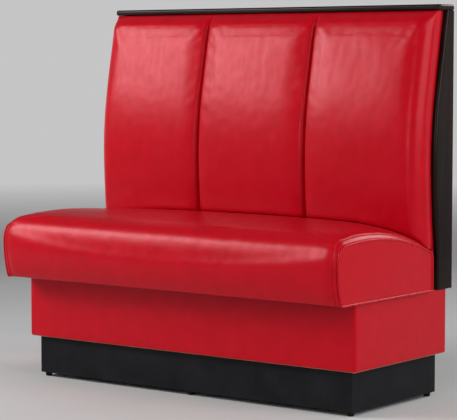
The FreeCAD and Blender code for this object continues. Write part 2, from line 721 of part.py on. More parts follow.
def make_back_boards(screws, panel_screws):
    """Rails, bent backer board, outside panel, end panels and cap."""
    wide = "cap_width / 2 - end_panel_board"
    across = ("-(%s)" % wide, wide)
    cap_foot = "overall_height - cap_thickness"
    rail = board("top_rail_blank", across, ("outside_panel_board", "top_rail_front"),
                 (cap_foot + " - top_rail_board", cap_foot))
    keep(cut("back_top_rail", rail, screws))
    mid = board("mid_rail_blank", across, ("outside_panel_board", "outside_panel_board + mid_rail_board"),
                ("mid_rail_centre - mid_rail_height / 2", "mid_rail_centre + mid_rail_height / 2"))
    keep(cut("back_mid_rail", mid, panel_screws))
    outside = board("outside_panel_blank", across, ("0", "outside_panel_board"),
                    ("seat_bottom", cap_foot))
    keep(cut("outside_back_panel", outside, panel_screws))
    high = size("overall_height") - size("cap_thickness")
    keep(board_up_the_back("back_backer_board", 0, size("backer_board"), size("seat_bottom"), high,
                           "cap_width - 2 * end_panel_board", across[0]))
    keep(board("seat_stop_rail", across, ("back_foot_reach", "back_foot_reach + seat_stop_board"),
               ("seat_bottom", "seat_bottom + seat_stop_height")))
    for name, side in SIDES.items():
        keep(cut("end_panel_%s" % name, make_end_panel(name, side), screws))
    keep(cut("top_cap", make_cap(), screws))


def make_end_panel(name, side):
    """Stained board whose front edge follows the back, rounded on both faces."""
    high = size("overall_height") - size("cap_thickness")
    low = size("seat_bottom")
    front = back_line(low, high, 0)
    edges = closed_outline(front, [(0, high), (0, low)])
    x = "cap_width / 2 - end_panel_board" if side > 0 else "-cap_width / 2"
    body = padded_profile("end_panel_%s_blank" % name, edges, "end_panel_board", x)
    doc.recompute()
    pad = body.Tip
    rounded = body.newObject("PartDesign::Fillet", "end_panel_%s_rounded" % name)
    rounded.Base = (pad, front_edges(pad.Shape))
    bind(rounded, "Radius", "end_panel_edge_radius")
    body.Tip = rounded
    return body


def front_edges(shape):
    """Names of the edges that run up the front of a padded outline, on both faces."""
    rear = size("overall_depth") / 2
    names = []
    for index, edge in enumerate(shape.Edges, start=1):
        box = edge.BoundBox
        if box.ZLength > box.XLength + box.YLength and box.YMax < rear - size("cap_edge_radius"):
            names.append("Edge%d" % index)
    return names


def make_cap():
    """Board on top of the back, its front corners and all but the rear edges rounded."""
    half = size("cap_width") / 2
    rear = size("overall_depth") / 2
    front = rear - size("cap_depth")
    corner = size("cap_corner_radius")
    bend = corner * (1 - math.sqrt(0.5))
    edges = [line_2d((-half, rear), (-half, front + corner)),
             arc_2d((-half, front + corner), (-half + bend, front + bend), (-half + corner, front)),
             line_2d((-half + corner, front), (half - corner, front)),
             arc_2d((half - corner, front), (half - bend, front + bend), (half, front + corner)),
             line_2d((half, front + corner), (half, rear)),
             line_2d((half, rear), (-half, rear))]
    body = doc.addObject("PartDesign::Body", "cap_blank")
    body.Label = "cap_blank"
    sketch = sketch_on(body, "XY_Plane", edges, "cap_outline")
    pad = body.newObject("PartDesign::Pad", "cap_pad")
    pad.Profile = sketch
    bind(pad, "Length", "cap_thickness")
    bind(body, "Placement.Base.z", "overall_height - cap_thickness")
    doc.recompute()
    names = []
    for index, edge in enumerate(pad.Shape.Edges, start=1):
        box = edge.BoundBox
        if box.ZLength < corner / 2 and box.YMin < rear - corner:
            names.append("Edge%d" % index)
    rounded = body.newObject("PartDesign::Fillet", "cap_rounded")
    rounded.Base = (pad, names)
    bind(rounded, "Radius", "cap_edge_radius")
    body.Tip = rounded
    return body


def space_place(x):
    """Maker of places in space, at a distance across, from forward and up."""
    rear = size("overall_depth") / 2
    return lambda point: Vector(x, rear - point[0], point[1])


def line_3d(start, end):
    return Part.LineSegment(start, end).toShape()


def arc_3d(start, middle, end):
    return Part.Arc(start, middle, end).toShape()


def mix(low, high, share):
    return low + (high - low) * share


def cushion_levels(inset):
    """Heights of the back cushion's sections with their shares of depth and channel rise."""
    low = size("cushion_low")
    top = size("overall_height") - size("cap_thickness") - size("cap_gap") - inset
    fade = top - size("cushion_fade")
    levels = [(mix(low, fade, share), 1, 1) for share in CUSHION_LEVEL_SHARES]
    for height_share, depth_share, rise_share in FADE_SHARES:
        levels.append((mix(fade, top, height_share), depth_share, rise_share))
    return levels


def cushion_section(level, inset, rear_overrun):
    """Level section of the back cushion: rear, drawn-in sides, corners and three channels."""
    height, depth_share, rise_share = level
    half = size("cushion_width") / 2 - inset
    rear_half = half - size("cushion_side_tuck")
    edge = back_depth(height)
    rear = edge - rear_overrun
    seam_depth = edge + size("cushion_depth") * depth_share - inset
    corner = size("cushion_corner_radius") * depth_share
    crest = seam_depth + size("channel_rise") * rise_share
    seam = size("seam_spacing") / 2
    bend = corner * (1 - math.sqrt(0.5))
    place = lambda x, ahead: Vector(x, size("overall_depth") / 2 - ahead, height)
    corner_start = seam_depth - corner
    middle = (half - corner + seam) / 2
    edges = [line_3d(place(-rear_half, rear), place(-rear_half, edge)),
             line_3d(place(-rear_half, edge), place(-half, corner_start)),
             arc_3d(place(-half, corner_start), place(-half + bend, seam_depth - bend),
                    place(-half + corner, seam_depth)),
             arc_3d(place(-half + corner, seam_depth), place(-middle, crest),
                    place(-seam, seam_depth)),
             arc_3d(place(-seam, seam_depth), place(0, crest), place(seam, seam_depth)),
             arc_3d(place(seam, seam_depth), place(middle, crest),
                    place(half - corner, seam_depth)),
             arc_3d(place(half - corner, seam_depth), place(half - bend, seam_depth - bend),
                    place(half, corner_start)),
             line_3d(place(half, corner_start), place(rear_half, edge)),
             line_3d(place(rear_half, edge), place(rear_half, rear)),
             line_3d(place(rear_half, rear), place(-rear_half, rear))]
    return Part.Wire(edges)


def cushion_form(inset, rear_overrun):
    """Back cushion as a loft up the back."""
    wires = [cushion_section(level, inset, rear_overrun) for level in cushion_levels(inset)]
    return Part.makeLoft(wires, True, False)


def space_behind_back():
    """Space of the backer board and end panels, with the soft gap in front of them."""
    overrun = size("overrun")
    low = size("seat_bottom")
    high = size("overall_height")
    reach = size("cushion_width") / 2 + overrun
    place = space_place(-reach)
    front = back_line(low, high, -size("soft_gap"))
    edges = outline(front, place, line_3d, arc_3d)
    corners = [front[-1], (-size("overall_depth"), high), (-size("overall_depth"), low), front[0]]
    for start, end in zip(corners, corners[1:]):
        edges.append(line_3d(place(start), place(end)))
    return Part.Face(Part.Wire(edges)).extrude(Vector(2 * reach, 0, 0))


def seat_joints(shares, inset, bottom):
    """Joints of the seat's section from the foot of its front over the top to its rear's foot."""
    front_share, rear_share = shares
    front = mix(size("seat_end_front"), size("overall_depth"), front_share)
    radius = mix(size("shoulder_radius_end"), size("shoulder_radius_mid"), front_share)
    rise = mix(size("seat_rear_rise_end"), size("seat_rear_rise_mid"), rear_share)
    seat = size("seat_bottom")
    sweep = math.radians(size("shoulder_degrees"))
    rear = size("seat_rear")
    bulge_height = seat + size("seat_bulge_rise")
    bulge = (front, bulge_height, math.pi / 2)
    down = arrive((front, bulge_height, -math.pi / 2), size("seat_foot"), seat + size("seat_hem"))
    foot = (down[0], down[1], down[2] + math.pi)
    shoulder = (front - radius + radius * math.cos(sweep), bulge_height + radius * math.sin(sweep),
                math.pi / 2 + sweep)
    rear_top = arrive(shoulder, rear + size("seat_rear_corner"), seat + rise)
    turn = (rear_top[0] - rear) / (1 + math.sin(rear_top[2]))
    rear_end = (rear, rear_top[1] + turn * math.cos(rear_top[2]), 1.5 * math.pi)
    joints = [moved_inside(joint, inset) for joint in (foot, bulge, shoulder, rear_top, rear_end)]
    foot = joints[0]
    hem = (foot[0] - (foot[1] - bottom) / math.tan(foot[2]), bottom, foot[2])
    return [hem] + joints + [(joints[-1][0], bottom, 1.5 * math.pi)]


def seat_section(x, shares, inset, bottom, rear_overrun=0):
    """Upright section of the seat, closed along its underside."""
    joints = seat_joints(shares, inset, bottom)
    if rear_overrun:
        top = joints[4]
        reach = rear_overrun + size("seat_rear_corner")
        far = (top[0] - reach, top[1] - reach * math.tan(top[2]), top[2])
        joints = joints[:5] + [far, (far[0], bottom, 1.5 * math.pi)]
    place = space_place(x)
    edges = outline(joints[:5], place, line_3d, arc_3d)
    if rear_overrun:
        edges.append(line_3d(place(joints[4]), place(joints[5])))
    else:
        edges += outline(joints[4:6], place, line_3d, arc_3d)
    edges.append(line_3d(place(joints[5]), place(joints[6])))
    edges.append(line_3d(place(joints[6]), place(joints[0])))
    return Part.Wire(edges)


def seat_form(half, inset, bottom, rear_overrun=0):
    """Seat cushion as a loft from end to end."""
    run = size("seat_crown_run")
    places = [(-half + run * near, shares) for near, *shares in CROWN_SHARES]
    places += [(-x, shares) for x, shares in reversed(places)]
    wires = [seat_section(x, shares, inset, bottom, rear_overrun) for x, shares in places]
    return Part.makeLoft(wires, True, False)


def block(across, ahead, up):
    """Straight block in space between places across, forward of the rear face and up."""
    corner = Vector(across[0], size("overall_depth") / 2 - ahead[1], up[0])
    return Part.makeBox(across[1] - across[0], ahead[1] - ahead[0], up[1] - up[0], corner)


def seat_half():
    """Half width of the seat's cover, between the welts."""
    return size("seat_width") / 2 - 2 * size("welt_radius")


def make_back_cushion():
    """Channelled cover and its three foam fillings, shaped to clear the seat below."""
    overrun = size("overrun")
    clearance = seat_form(size("seat_width") / 2 + overrun, -size("seat_clearance"),
                          size("seat_bottom") - overrun, 2 * overrun)
    behind = space_behind_back()
    inner = cushion_form(size("vinyl"), 2 * overrun)
    cover = cushion_form(0, overrun).cut(inner).cut(clearance).cut(behind)
    keep(shaped("back_cover", cover))
    seam = size("seam_spacing") / 2
    tuck = size("seam_tuck") / 2
    wide = size("cushion_width")
    spans = {"left": (-wide, -seam - tuck), "centre": (-seam + tuck, seam - tuck),
             "right": (seam + tuck, wide)}
    for name, across in spans.items():
        span = block(across, (-overrun, size("overall_depth")), (0, size("overall_height")))
        filling = inner.common(span).cut(behind).cut(clearance)
        keep(shaped("back_foam_%s" % name, filling))


def make_seat_soft():
    """Seat's cover, foam, end boxing, welts and dust cover."""
    overrun = size("overrun")
    bottom = size("seat_bottom") + size("slide_gap")
    half = seat_half()
    outer = seat_form(half, 0, bottom)
    lining = seat_form(half, size("vinyl"), bottom + size("vinyl"))
    opening = block((-half + size("hem_turn_in"), half - size("hem_turn_in")),
                    (size("seat_rear") + size("hem_turn_in"), size("seat_foot") - size("hem_turn_in")),
                    (bottom - overrun, bottom + size("seat_hem")))
    keep(shaped("seat_cover", outer.cut(lining).cut(opening)))
    frame_top = bottom + size("vinyl") + size("seat_rail_height")
    foam_foot = frame_top + size("clip_height") + size("spring_pad")
    rail_front = size("seat_foot") - size("seat_front_pad")
    frame_space = block((-half - overrun, half + overrun), (0, rail_front),
                        (bottom - overrun, foam_foot))
    keep(shaped("seat_foam", lining.cut(frame_space)))
    for name, side in SIDES.items():
        keep(make_boxing(name, side))
        keep(make_welt(name, side))


def make_boxing(name, side):
    """Flat panel sewn into the end of the seat, inside its welt."""
    inset = 2 * size("welt_radius") - size("welt_proud")
    bottom = size("seat_bottom") + size("slide_gap")
    joints = seat_joints(END_SHARES, inset, bottom)
    edges = outline(joints, flat_place, line_2d, arc_2d)
    edges.append(line_2d(flat_place(joints[-1]), flat_place(joints[0])))
    inner = "seat_width / 2 - 2 * welt_radius"
    across = mirrored(side, inner, inner + " + boxing_skin")
    return padded_profile("seat_boxing_%s" % name, edges, "boxing_skin", across[0])


def make_welt(name, side):
    """Piping swept round the end of the seat."""
    label = "seat_welt_%s" % name
    bottom = size("seat_bottom") + size("slide_gap")
    centre_inset = size("welt_radius") - size("welt_proud")
    joints = [(ahead, up - bottom, heading)
              for ahead, up, heading in seat_joints(END_SHARES, centre_inset, bottom)]
    body = doc.addObject("PartDesign::Body", label)
    body.Label = label
    spine = sketch_on(body, "YZ_Plane", outline(joints, flat_place, line_2d, arc_2d), label + "_route")
    start = flat_place(joints[0])
    ring = Part.Circle(Vector(0, start[0], 0), Vector(0, 0, 1), size("welt_radius"))
    section = sketch_on(body, "XY_Plane", [ring], label + "_section")
    pipe = body.newObject("PartDesign::AdditivePipe", label + "_pipe")
    pipe.Profile = section
    pipe.Spine = (spine, [])
    bind(body, "Placement.Base.x", "%d * (seat_width / 2 - welt_radius)" % side)
    bind(body, "Placement.Base.z", "seat_bottom + slide_gap")
    return body


SEAT_LOW = "seat_bottom + slide_gap + vinyl"
SEAT_FRAME_UP = (SEAT_LOW, SEAT_LOW + " + seat_rail_height")
SEAT_FRONT = "seat_foot - seat_front_pad"
SEAT_REAR = "seat_rear + vinyl"
SEAT_HALF = "(seat_width / 2 - 2 * welt_radius)"


def make_seat_frame():
    """Rails of the seat frame, insulator over the springs and dust cover below."""
    full = ("-" + SEAT_HALF, SEAT_HALF)
    keep(board("seat_front_rail", full, (SEAT_FRONT + " - seat_rail_board", SEAT_FRONT),
               SEAT_FRAME_UP))
    keep(board("seat_rear_rail", full, (SEAT_REAR, SEAT_REAR + " + seat_rail_board"), SEAT_FRAME_UP))
    between = (SEAT_REAR + " + seat_rail_board", SEAT_FRONT + " - seat_rail_board")
    for name, side in SIDES.items():
        across = mirrored(side, SEAT_HALF + " - seat_rail_board", SEAT_HALF)
        keep(board("seat_%s_rail" % name, across, between, SEAT_FRAME_UP))
    pad_low = SEAT_LOW + " + seat_rail_height + clip_height"
    pad_half = SEAT_HALF + " - spring_pad_margin"
    keep(board("seat_spring_pad", ("-(%s)" % pad_half, pad_half),
               (SEAT_REAR + " + spring_pad_margin", SEAT_FRONT + " - spring_pad_margin"),
               (pad_low, pad_low + " + spring_pad")))
    edge = "hem_turn_in + dust_cover_gap"
    cover_half = "%s - (%s)" % (SEAT_HALF, edge)
    keep(board("seat_dust_cover", ("-(%s)" % cover_half, cover_half),
               ("seat_rear + " + edge, "seat_foot - (%s)" % edge),
               (SEAT_LOW + " - dust_cover", SEAT_LOW)))


def spring_places():
    """Places across of the springs' middles, as many as the frame has room for."""
    room = 2 * (seat_half() - size("seat_rail_board")) - size("spring_width")
    gaps = int(room / size("spring_spacing"))
    return [(index - gaps / 2) * size("spring_spacing") for index in range(gaps + 1)]


def make_springs():
    """Sinuous springs from the rear rail to the front rail, and the clips over their ends."""
    wire = size("spring_wire_radius")
    clearance = size("clip_clearance")
    frame_top = (size("seat_bottom") + size("slide_gap") + size("vinyl") + size("seat_rail_height"))
    axis = frame_top + clearance + wire
    first = size("seat_rear") + size("vinyl") + size("seat_rail_board") / 2
    last = size("seat_foot") - size("seat_front_pad") - size("seat_rail_board") / 2
    gaps = max(1, round((last - first) / size("spring_pitch")))
    pitch = (last - first) / gaps
    bend = pitch / 2
    reach = size("spring_width") / 2 - bend
    diagonal = bend * math.sqrt(0.5)
    place = lambda x, ahead: Vector(x, size("overall_depth") / 2 - ahead, axis)
    edges = []
    for index in range(gaps + 1):
        ahead = first + index * pitch
        side = 1 if index % 2 else -1
        edges.append(line_3d(place(side * reach, ahead), place(-side * reach, ahead)))
        if index < gaps:
            x = -side * reach
            far = x - side * bend
            diagonal_x = x - side * diagonal
            edges.append(arc_3d(place(x, ahead), place(diagonal_x, ahead + bend - diagonal),
                                place(far, ahead + bend)))
            edges.append(arc_3d(place(far, ahead + bend), place(diagonal_x, ahead + bend + diagonal),
                                place(x, ahead + pitch)))
    route = Part.Wire(edges)
    start = place(-reach, first)
    ring = Part.Wire(Part.Circle(start, Vector(1, 0, 0), wire).toShape())
    spring = route.makePipeShell([ring], True, False)
    keep(shaped("seat_springs", Part.makeCompound(
        [spring.translated(Vector(x, 0, 0)) for x in spring_places()])))
    clips = [spring_clip(x, ahead, frame_top) for x in spring_places() for ahead in (first, last)]
    keep(shaped("seat_spring_clips", Part.makeCompound(clips)))


def spring_clip(x, ahead, foot):
    """Clip that stands on a rail and arches over the end of a spring's wire."""
    room = size("spring_wire_radius") + size("clip_clearance")
    half = size("clip_depth") / 2
    top = size("clip_height")
    place = space_place(x - size("clip_width") / 2)
    at = lambda forward, up: place((ahead + forward, foot + up))
    corners = [(-room, room), (-room, 0), (-half, 0), (-half, top), (half, top), (half, 0), (room, 0),
               (room, room)]
    edges = [line_3d(at(*start), at(*end)) for start, end in zip(corners, corners[1:])]
    edges.append(arc_3d(at(room, room), at(0, 2 * room), at(-room, room)))
    return Part.Face(Part.Wire(edges)).extrude(Vector(size("clip_width"), 0, 0))


def check_document():
    """Stop when an object failed or a sub-part has no sound shape."""
    doc.recompute()
    for item in doc.Objects:
        if "Invalid" in item.State or "Error" in item.State:
            raise RuntimeError("failed: " + item.Label)
    for piece in subparts:
        if piece.Shape.isNull() or not piece.Shape.isValid() or piece.Shape.Volume <= 0:
            raise RuntimeError("no sound shape: " + piece.Label)


def write_parts():
    """Write each sub-part under its own name."""
    os.makedirs("parts", exist_ok=True)
    for piece in subparts:
        piece.Shape.exportStep("parts/%s.step" % piece.Label)
    print(len(subparts), "sub-parts written")


foot_inserts = make_plinth()
make_feet()
make_base_frame()
keep(make_base_cover())
frame_screws = keep(make_frame_screws())
panel_screws = keep(make_panel_screws())
threaded_inserts, back_bolts = make_bolts(foot_inserts)
make_base_side_rails(threaded_inserts, back_bolts)
make_ribs(frame_screws, panel_screws, back_bolts)
make_back_boards(frame_screws, panel_screws)
make_back_cushion()
make_seat_frame()
make_springs()
make_seat_soft()
check_document()
write_parts()
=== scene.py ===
"""Restaurant booth seat: the looks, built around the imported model.

Metres, in the row frame: z up, the booth faces -y, and the floor is z = 0.
"""
import json
import math

import bmesh
import bpy
import numpy as np
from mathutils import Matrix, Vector, noise as perlin
from mathutils.bvhtree import BVHTree
from mathutils.kdtree import KDTree


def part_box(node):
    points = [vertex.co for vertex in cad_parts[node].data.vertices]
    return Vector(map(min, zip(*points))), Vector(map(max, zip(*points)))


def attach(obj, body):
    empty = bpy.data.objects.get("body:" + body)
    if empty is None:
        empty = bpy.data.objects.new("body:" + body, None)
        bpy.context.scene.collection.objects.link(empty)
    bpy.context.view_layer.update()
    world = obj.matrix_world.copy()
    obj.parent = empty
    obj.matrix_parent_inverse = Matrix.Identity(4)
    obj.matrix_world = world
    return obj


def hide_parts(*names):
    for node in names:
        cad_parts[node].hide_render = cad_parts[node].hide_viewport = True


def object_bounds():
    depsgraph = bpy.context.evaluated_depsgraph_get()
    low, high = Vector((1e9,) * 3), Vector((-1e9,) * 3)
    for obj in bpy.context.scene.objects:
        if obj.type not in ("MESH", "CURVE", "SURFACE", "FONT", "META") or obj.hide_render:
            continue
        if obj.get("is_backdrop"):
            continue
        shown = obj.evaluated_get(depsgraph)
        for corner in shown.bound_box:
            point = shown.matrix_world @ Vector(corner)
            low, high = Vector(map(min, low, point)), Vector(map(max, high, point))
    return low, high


MM = 0.001

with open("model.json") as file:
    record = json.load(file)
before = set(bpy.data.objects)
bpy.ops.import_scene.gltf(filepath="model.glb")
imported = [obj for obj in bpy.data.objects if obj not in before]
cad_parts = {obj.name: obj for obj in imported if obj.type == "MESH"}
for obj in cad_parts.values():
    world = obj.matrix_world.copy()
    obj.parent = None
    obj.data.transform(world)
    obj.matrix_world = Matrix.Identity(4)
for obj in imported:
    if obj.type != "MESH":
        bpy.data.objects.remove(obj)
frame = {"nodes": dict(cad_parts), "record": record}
cad_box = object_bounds()

# Photograph's camera, in the row frame
CAMERA_PLACE = (3.2505, -4.2275, 0.9198)
CAMERA_PITCH_DEGREES = 85.5
CAMERA_AZIMUTH_DEGREES = 37.4
CAMERA_SENSOR = 36.0
CAMERA_LENS = 150.96

# Sizes read from the frame
REAR = cad_box[1].y
CAP_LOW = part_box("top_cap")[0]
PANEL_LOW, PANEL_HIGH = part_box("end_panel_right")
COVER_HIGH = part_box("back_cover")[1]
SEAT_LOW, SEAT_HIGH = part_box("seat_cover")
BASE_LOW, BASE_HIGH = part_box("base_cover")
WELT_LOW, WELT_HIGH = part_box("seat_welt_right")


def new_object(name, vertices, faces, smooth=True):
    """Mesh object from points and faces."""
    mesh = bpy.data.meshes.new(name)
    mesh.from_pydata([tuple(point) for point in vertices], [], [tuple(face) for face in faces])
    mesh.polygons.foreach_set("use_smooth", [smooth] * len(mesh.polygons))
    mesh.update()
    piece = bpy.data.objects.new(name, mesh)
    bpy.context.scene.collection.objects.link(piece)
    return piece


def places(piece):
    """Vertices of a mesh as an array."""
    flat = np.zeros(len(piece.data.vertices) * 3)
    piece.data.vertices.foreach_get("co", flat)
    return flat.reshape(-1, 3)


def set_places(piece, points):
    piece.data.vertices.foreach_set("co", points.astype(np.float32).ravel())
    piece.data.update()


def normals(piece):
    flat = np.zeros(len(piece.data.vertices) * 3)
    piece.data.vertices.foreach_get("normal", flat)
    return flat.reshape(-1, 3)


def apply_modifiers(piece):
    """Put the result of a piece's modifiers into its mesh."""
    graph = bpy.context.evaluated_depsgraph_get()
    mesh = bpy.data.meshes.new_from_object(piece.evaluated_get(graph))
    old = piece.data
    piece.modifiers.clear()
    piece.data = mesh
    mesh.name = piece.name
    bpy.data.meshes.remove(old)
    return piece


def grid_faces(rows, columns, wrap=False, first=0):
    """Quads between the rows of a grid of points; wrap joins the last column to the first."""
    faces = []
    spans = columns if wrap else columns - 1
    for row in range(rows - 1):
        for column in range(spans):
            right = (column + 1) % columns
            low = first + row * columns
            high = low + columns
            faces.append((low + column, low + right, high + right, high + column))
    return faces


def closed_tube(name, rings):
    """Closed form from rings of points, each end filled in by a fan about its middle."""
    rings = np.asarray(rings, float)
    rows, columns, _ = rings.shape
    points = rings.reshape(-1, 3)
    faces = grid_faces(rows, columns, wrap=True)
    ends = [rings[0].mean(axis=0), rings[-1].mean(axis=0)]
    points = np.vstack([points, ends])
    bottom = rows * columns
    last = (rows - 1) * columns
    for column in range(columns):
        right = (column + 1) % columns
        faces.append((bottom, right, column))
        faces.append((bottom + 1, last + column, last + right))
    piece = new_object(name, points, faces)
    outward(piece)
    return piece


def outward(piece):
    """Turn all faces outwards."""
    mesh = bmesh.new()
    mesh.from_mesh(piece.data)
    bmesh.ops.recalc_face_normals(mesh, faces=mesh.faces)
    mesh.to_mesh(piece.data)
    mesh.free()


def surface_of(*names):
    """Ray-castable surface of some CAD nodes at rest."""
    vertices = []
    faces = []
    for name in names:
        mesh = frame["nodes"][name].data
        first = len(vertices)
        vertices += [vertex.co.copy() for vertex in mesh.vertices]
        faces += [[first + index for index in face.vertices] for face in mesh.polygons]
    return BVHTree.FromPolygons(vertices, faces)


WAVE_SHIFT = (7.31, 3.17, 5.53)
WAVE_SPREAD = 1.4


def waves(points, length, seed):
    """Smooth irregular height at points, about -1 to 1, with features of about a length."""
    shift = Vector([seed * value for value in WAVE_SHIFT])
    heights = [perlin.noise(Vector(point) / length + shift) for point in points]
    return np.array(heights) * WAVE_SPREAD


def ripple(points, height, length, seed):
    """Waves of a height."""
    return height * waves(points, length, seed)


def mix(low, high, share):
    return low + (high - low) * share


def smooth_step(value, low, high):
    share = np.clip((value - low) / (high - low), 0, 1)
    return share * share * (3 - 2 * share)


def smoothed(values, spacing, spread):
    """Evenly spaced values averaged with a bell curve of a spread."""
    reach = int(3 * spread / spacing)
    offsets = np.arange(-reach, reach + 1) * spacing
    weights = np.exp(-0.5 * (offsets / spread) ** 2)
    weights /= weights.sum()
    slope_low = values[1] - values[0]
    slope_high = values[-1] - values[-2]
    steps = np.arange(1, reach + 1)
    padded = np.concatenate([values[0] - slope_low * steps[::-1], values,
                             values[-1] + slope_high * steps])
    return np.convolve(padded, weights, mode="valid")


# Back cushion, forward of the end panels' curved front edge
PROFILE_SPACING = 3 * MM
PROFILE_SPREAD = 16 * MM
CUSHION_INSET = 3.5 * MM
CUSHION_HALF = COVER_HIGH.x - CUSHION_INSET
CUSHION_DEPTH = 69 * MM
EDGE_AHEAD = 38.5 * MM
EDGE_BEHIND_FACE = 4 * MM
SIDE_TUCK = 6 * MM
CHANNEL_RISE = 16 * MM
SEAM_PLACE = CUSHION_HALF / 3
SEAM_ROLL = 12 * MM
SEAM_ROLL_WIDTH = 9 * MM
SEAM_TOP_SPREAD = 9 * MM
SEAM_GROOVE = 5.5 * MM
SEAM_GROOVE_WIDTH = 4.8 * MM
CROWN_POWER = 2.4
CORNER_WIDTH = 34 * MM
CORNER_POWER = 1.7
TOP_ROLL_START = 1008 * MM
TOP_ROLL_SHARE = 0.62
PILLOW_TOP = 1048 * MM
PILLOW_ROUND = 50 * MM
FOOT_ROUND = 15 * MM
FOOT_TUCK = 7 * MM
FOOT_GUESS = 470 * MM
FOOT_REACH = 6 * MM
CONTACT_GAP = 1.2 * MM
REAR_GAP = 0.4 * MM
LEAST_DEPTH = 3 * MM
SIDE_SHARES = (0.06, 0.25, 0.5, 0.75)
SIDE_BOW = 2.5 * MM
SEAM_COLUMNS = np.array([0, 1.2, 2.4, 3.8, 5.5, 7.5, 10, 13, 17, 22, 28, 35, 43]) * MM
COLUMN_SPACING = 9 * MM
CORNER_DEGREES = (0, 12, 24, 36, 48, 60, 71, 81, 90)
RISE_STEPS = 600
RISES = (0, 1, 3, 6, 10, 15, 21, *range(28, 500, 8), *range(500, RISE_STEPS + 1, 4))


def panel_profile():
    """Heights and the y of the end panel's front edge there."""
    surface = surface_of("end_panel_right")
    x = (PANEL_LOW.x + PANEL_HIGH.x) / 2
    low = PANEL_LOW.z + PROFILE_SPACING
    heights = np.arange(low, PANEL_HIGH.z - PROFILE_SPACING, PROFILE_SPACING)
    edges = []
    for height in heights:
        hit = surface.ray_cast(Vector((x, -1, height)), Vector((0, 1, 0)))[0]
        edges.append(hit.y)
    return heights, smoothed(np.array(edges), PROFILE_SPACING, PROFILE_SPREAD)


PANEL_HEIGHTS, PANEL_EDGES = panel_profile()
CUSHION_TOP = CAP_LOW.z - 0.4 * MM


def panel_edge(z):
    return np.interp(z, PANEL_HEIGHTS, PANEL_EDGES)


def cushion_depth(z):
    """How far the back cushion's face lies ahead of the end panel's edge, without its channels."""
    share = np.clip((z - TOP_ROLL_START) / (CUSHION_TOP + 2 * MM - TOP_ROLL_START), 0, 1)
    return CUSHION_DEPTH * (1 - TOP_ROLL_SHARE * (1 - np.sqrt(1 - share ** 2)))


def pillow_share(z):
    """1 along the channels, rounding to 0 at their tops."""
    share = np.clip((z - (PILLOW_TOP - PILLOW_ROUND)) / PILLOW_ROUND, 0, 1)
    return 1 - share ** 2


def cushion_face(x, z):
    """y of the back cushion's front at a place, channels, seams and rounded corners included."""
    pillow = pillow_share(z)
    seam_distance = np.abs(np.abs(x) - SEAM_PLACE)
    outer = np.abs(x) > SEAM_PLACE
    centre = np.where(outer, np.sign(x) * (SEAM_PLACE + CUSHION_HALF) / 2, 0)
    width = np.where(outer, (CUSHION_HALF - SEAM_PLACE) / 2, SEAM_PLACE)
    crown = 1 - np.clip(np.abs(x - centre) / width, 0, 1) ** CROWN_POWER
    rise = (CHANNEL_RISE - SEAM_ROLL) * crown * pillow
    roll_width = SEAM_ROLL_WIDTH + SEAM_TOP_SPREAD * (1 - pillow_share(z + PILLOW_ROUND / 2))
    roll = SEAM_ROLL * (1 - np.exp(-seam_distance / roll_width)) * pillow
    groove = SEAM_GROOVE * np.exp(-(seam_distance / SEAM_GROOVE_WIDTH) ** 2) * pillow
    depth = cushion_depth(z) + rise + roll - groove
    inside = np.clip(1 - (CUSHION_HALF - np.abs(x)) / CORNER_WIDTH, 0, 1)
    corner = (depth - edge_ahead(z)) * (1 - (1 - inside ** CORNER_POWER) ** (1 / CORNER_POWER))
    return panel_edge(z) - depth + corner


def edge_ahead(z):
    """How far the piped edge of the back cushion lies ahead of the end panel's edge."""
    return np.minimum(EDGE_AHEAD, cushion_depth(z) - EDGE_BEHIND_FACE)


def front_columns():
    """Places across of the cushion's front columns: finer at the seams and round the corners."""
    near = list(SEAM_COLUMNS)
    reach = near[-1] + COLUMN_SPACING
    far = list(np.arange(reach, SEAM_PLACE, COLUMN_SPACING))
    inner = [SEAM_PLACE - offset for offset in near + far]
    corner_start = CUSHION_HALF - CORNER_WIDTH
    far = list(np.arange(reach, corner_start - SEAM_PLACE - COLUMN_SPACING / 2, COLUMN_SPACING))
    outer = [SEAM_PLACE + offset for offset in near[1:] + far]
    corner = [corner_start + CORNER_WIDTH * math.sin(math.radians(angle))
              for angle in CORNER_DEGREES]
    right = sorted(x for x in inner + outer + corner if x > COLUMN_SPACING / 2)
    return np.array([-x for x in reversed(right)] + [0.0] + right)


def cushion_ring(heights, columns, tuck):
    """Ring of the back cushion: front columns, right side, rear columns and left side.

    The heights are given for each front column; the tuck draws the whole ring's face in.
    """
    front_y = np.minimum(cushion_face(columns, heights) + tuck, panel_edge(heights) - LEAST_DEPTH)
    x = columns * (1 - tuck / CUSHION_HALF)
    rear_y = panel_edge(heights) - REAR_GAP
    rear_half = CUSHION_HALF - SIDE_TUCK
    front = np.stack([x, front_y, heights], axis=1)
    rear = np.stack([np.clip(columns, -rear_half, rear_half), rear_y, heights], axis=1)
    sides = []
    for end in (-1, 0):
        bow = np.sign(columns[end]) * SIDE_BOW
        side = []
        for share in SIDE_SHARES:
            point = mix(front[end], rear[end], share)
            point[0] += bow * math.sin(math.pi * share)
            side.append(point)
        sides.append(side)
    return np.vstack([front, sides[0], rear[::-1], sides[1][::-1]])


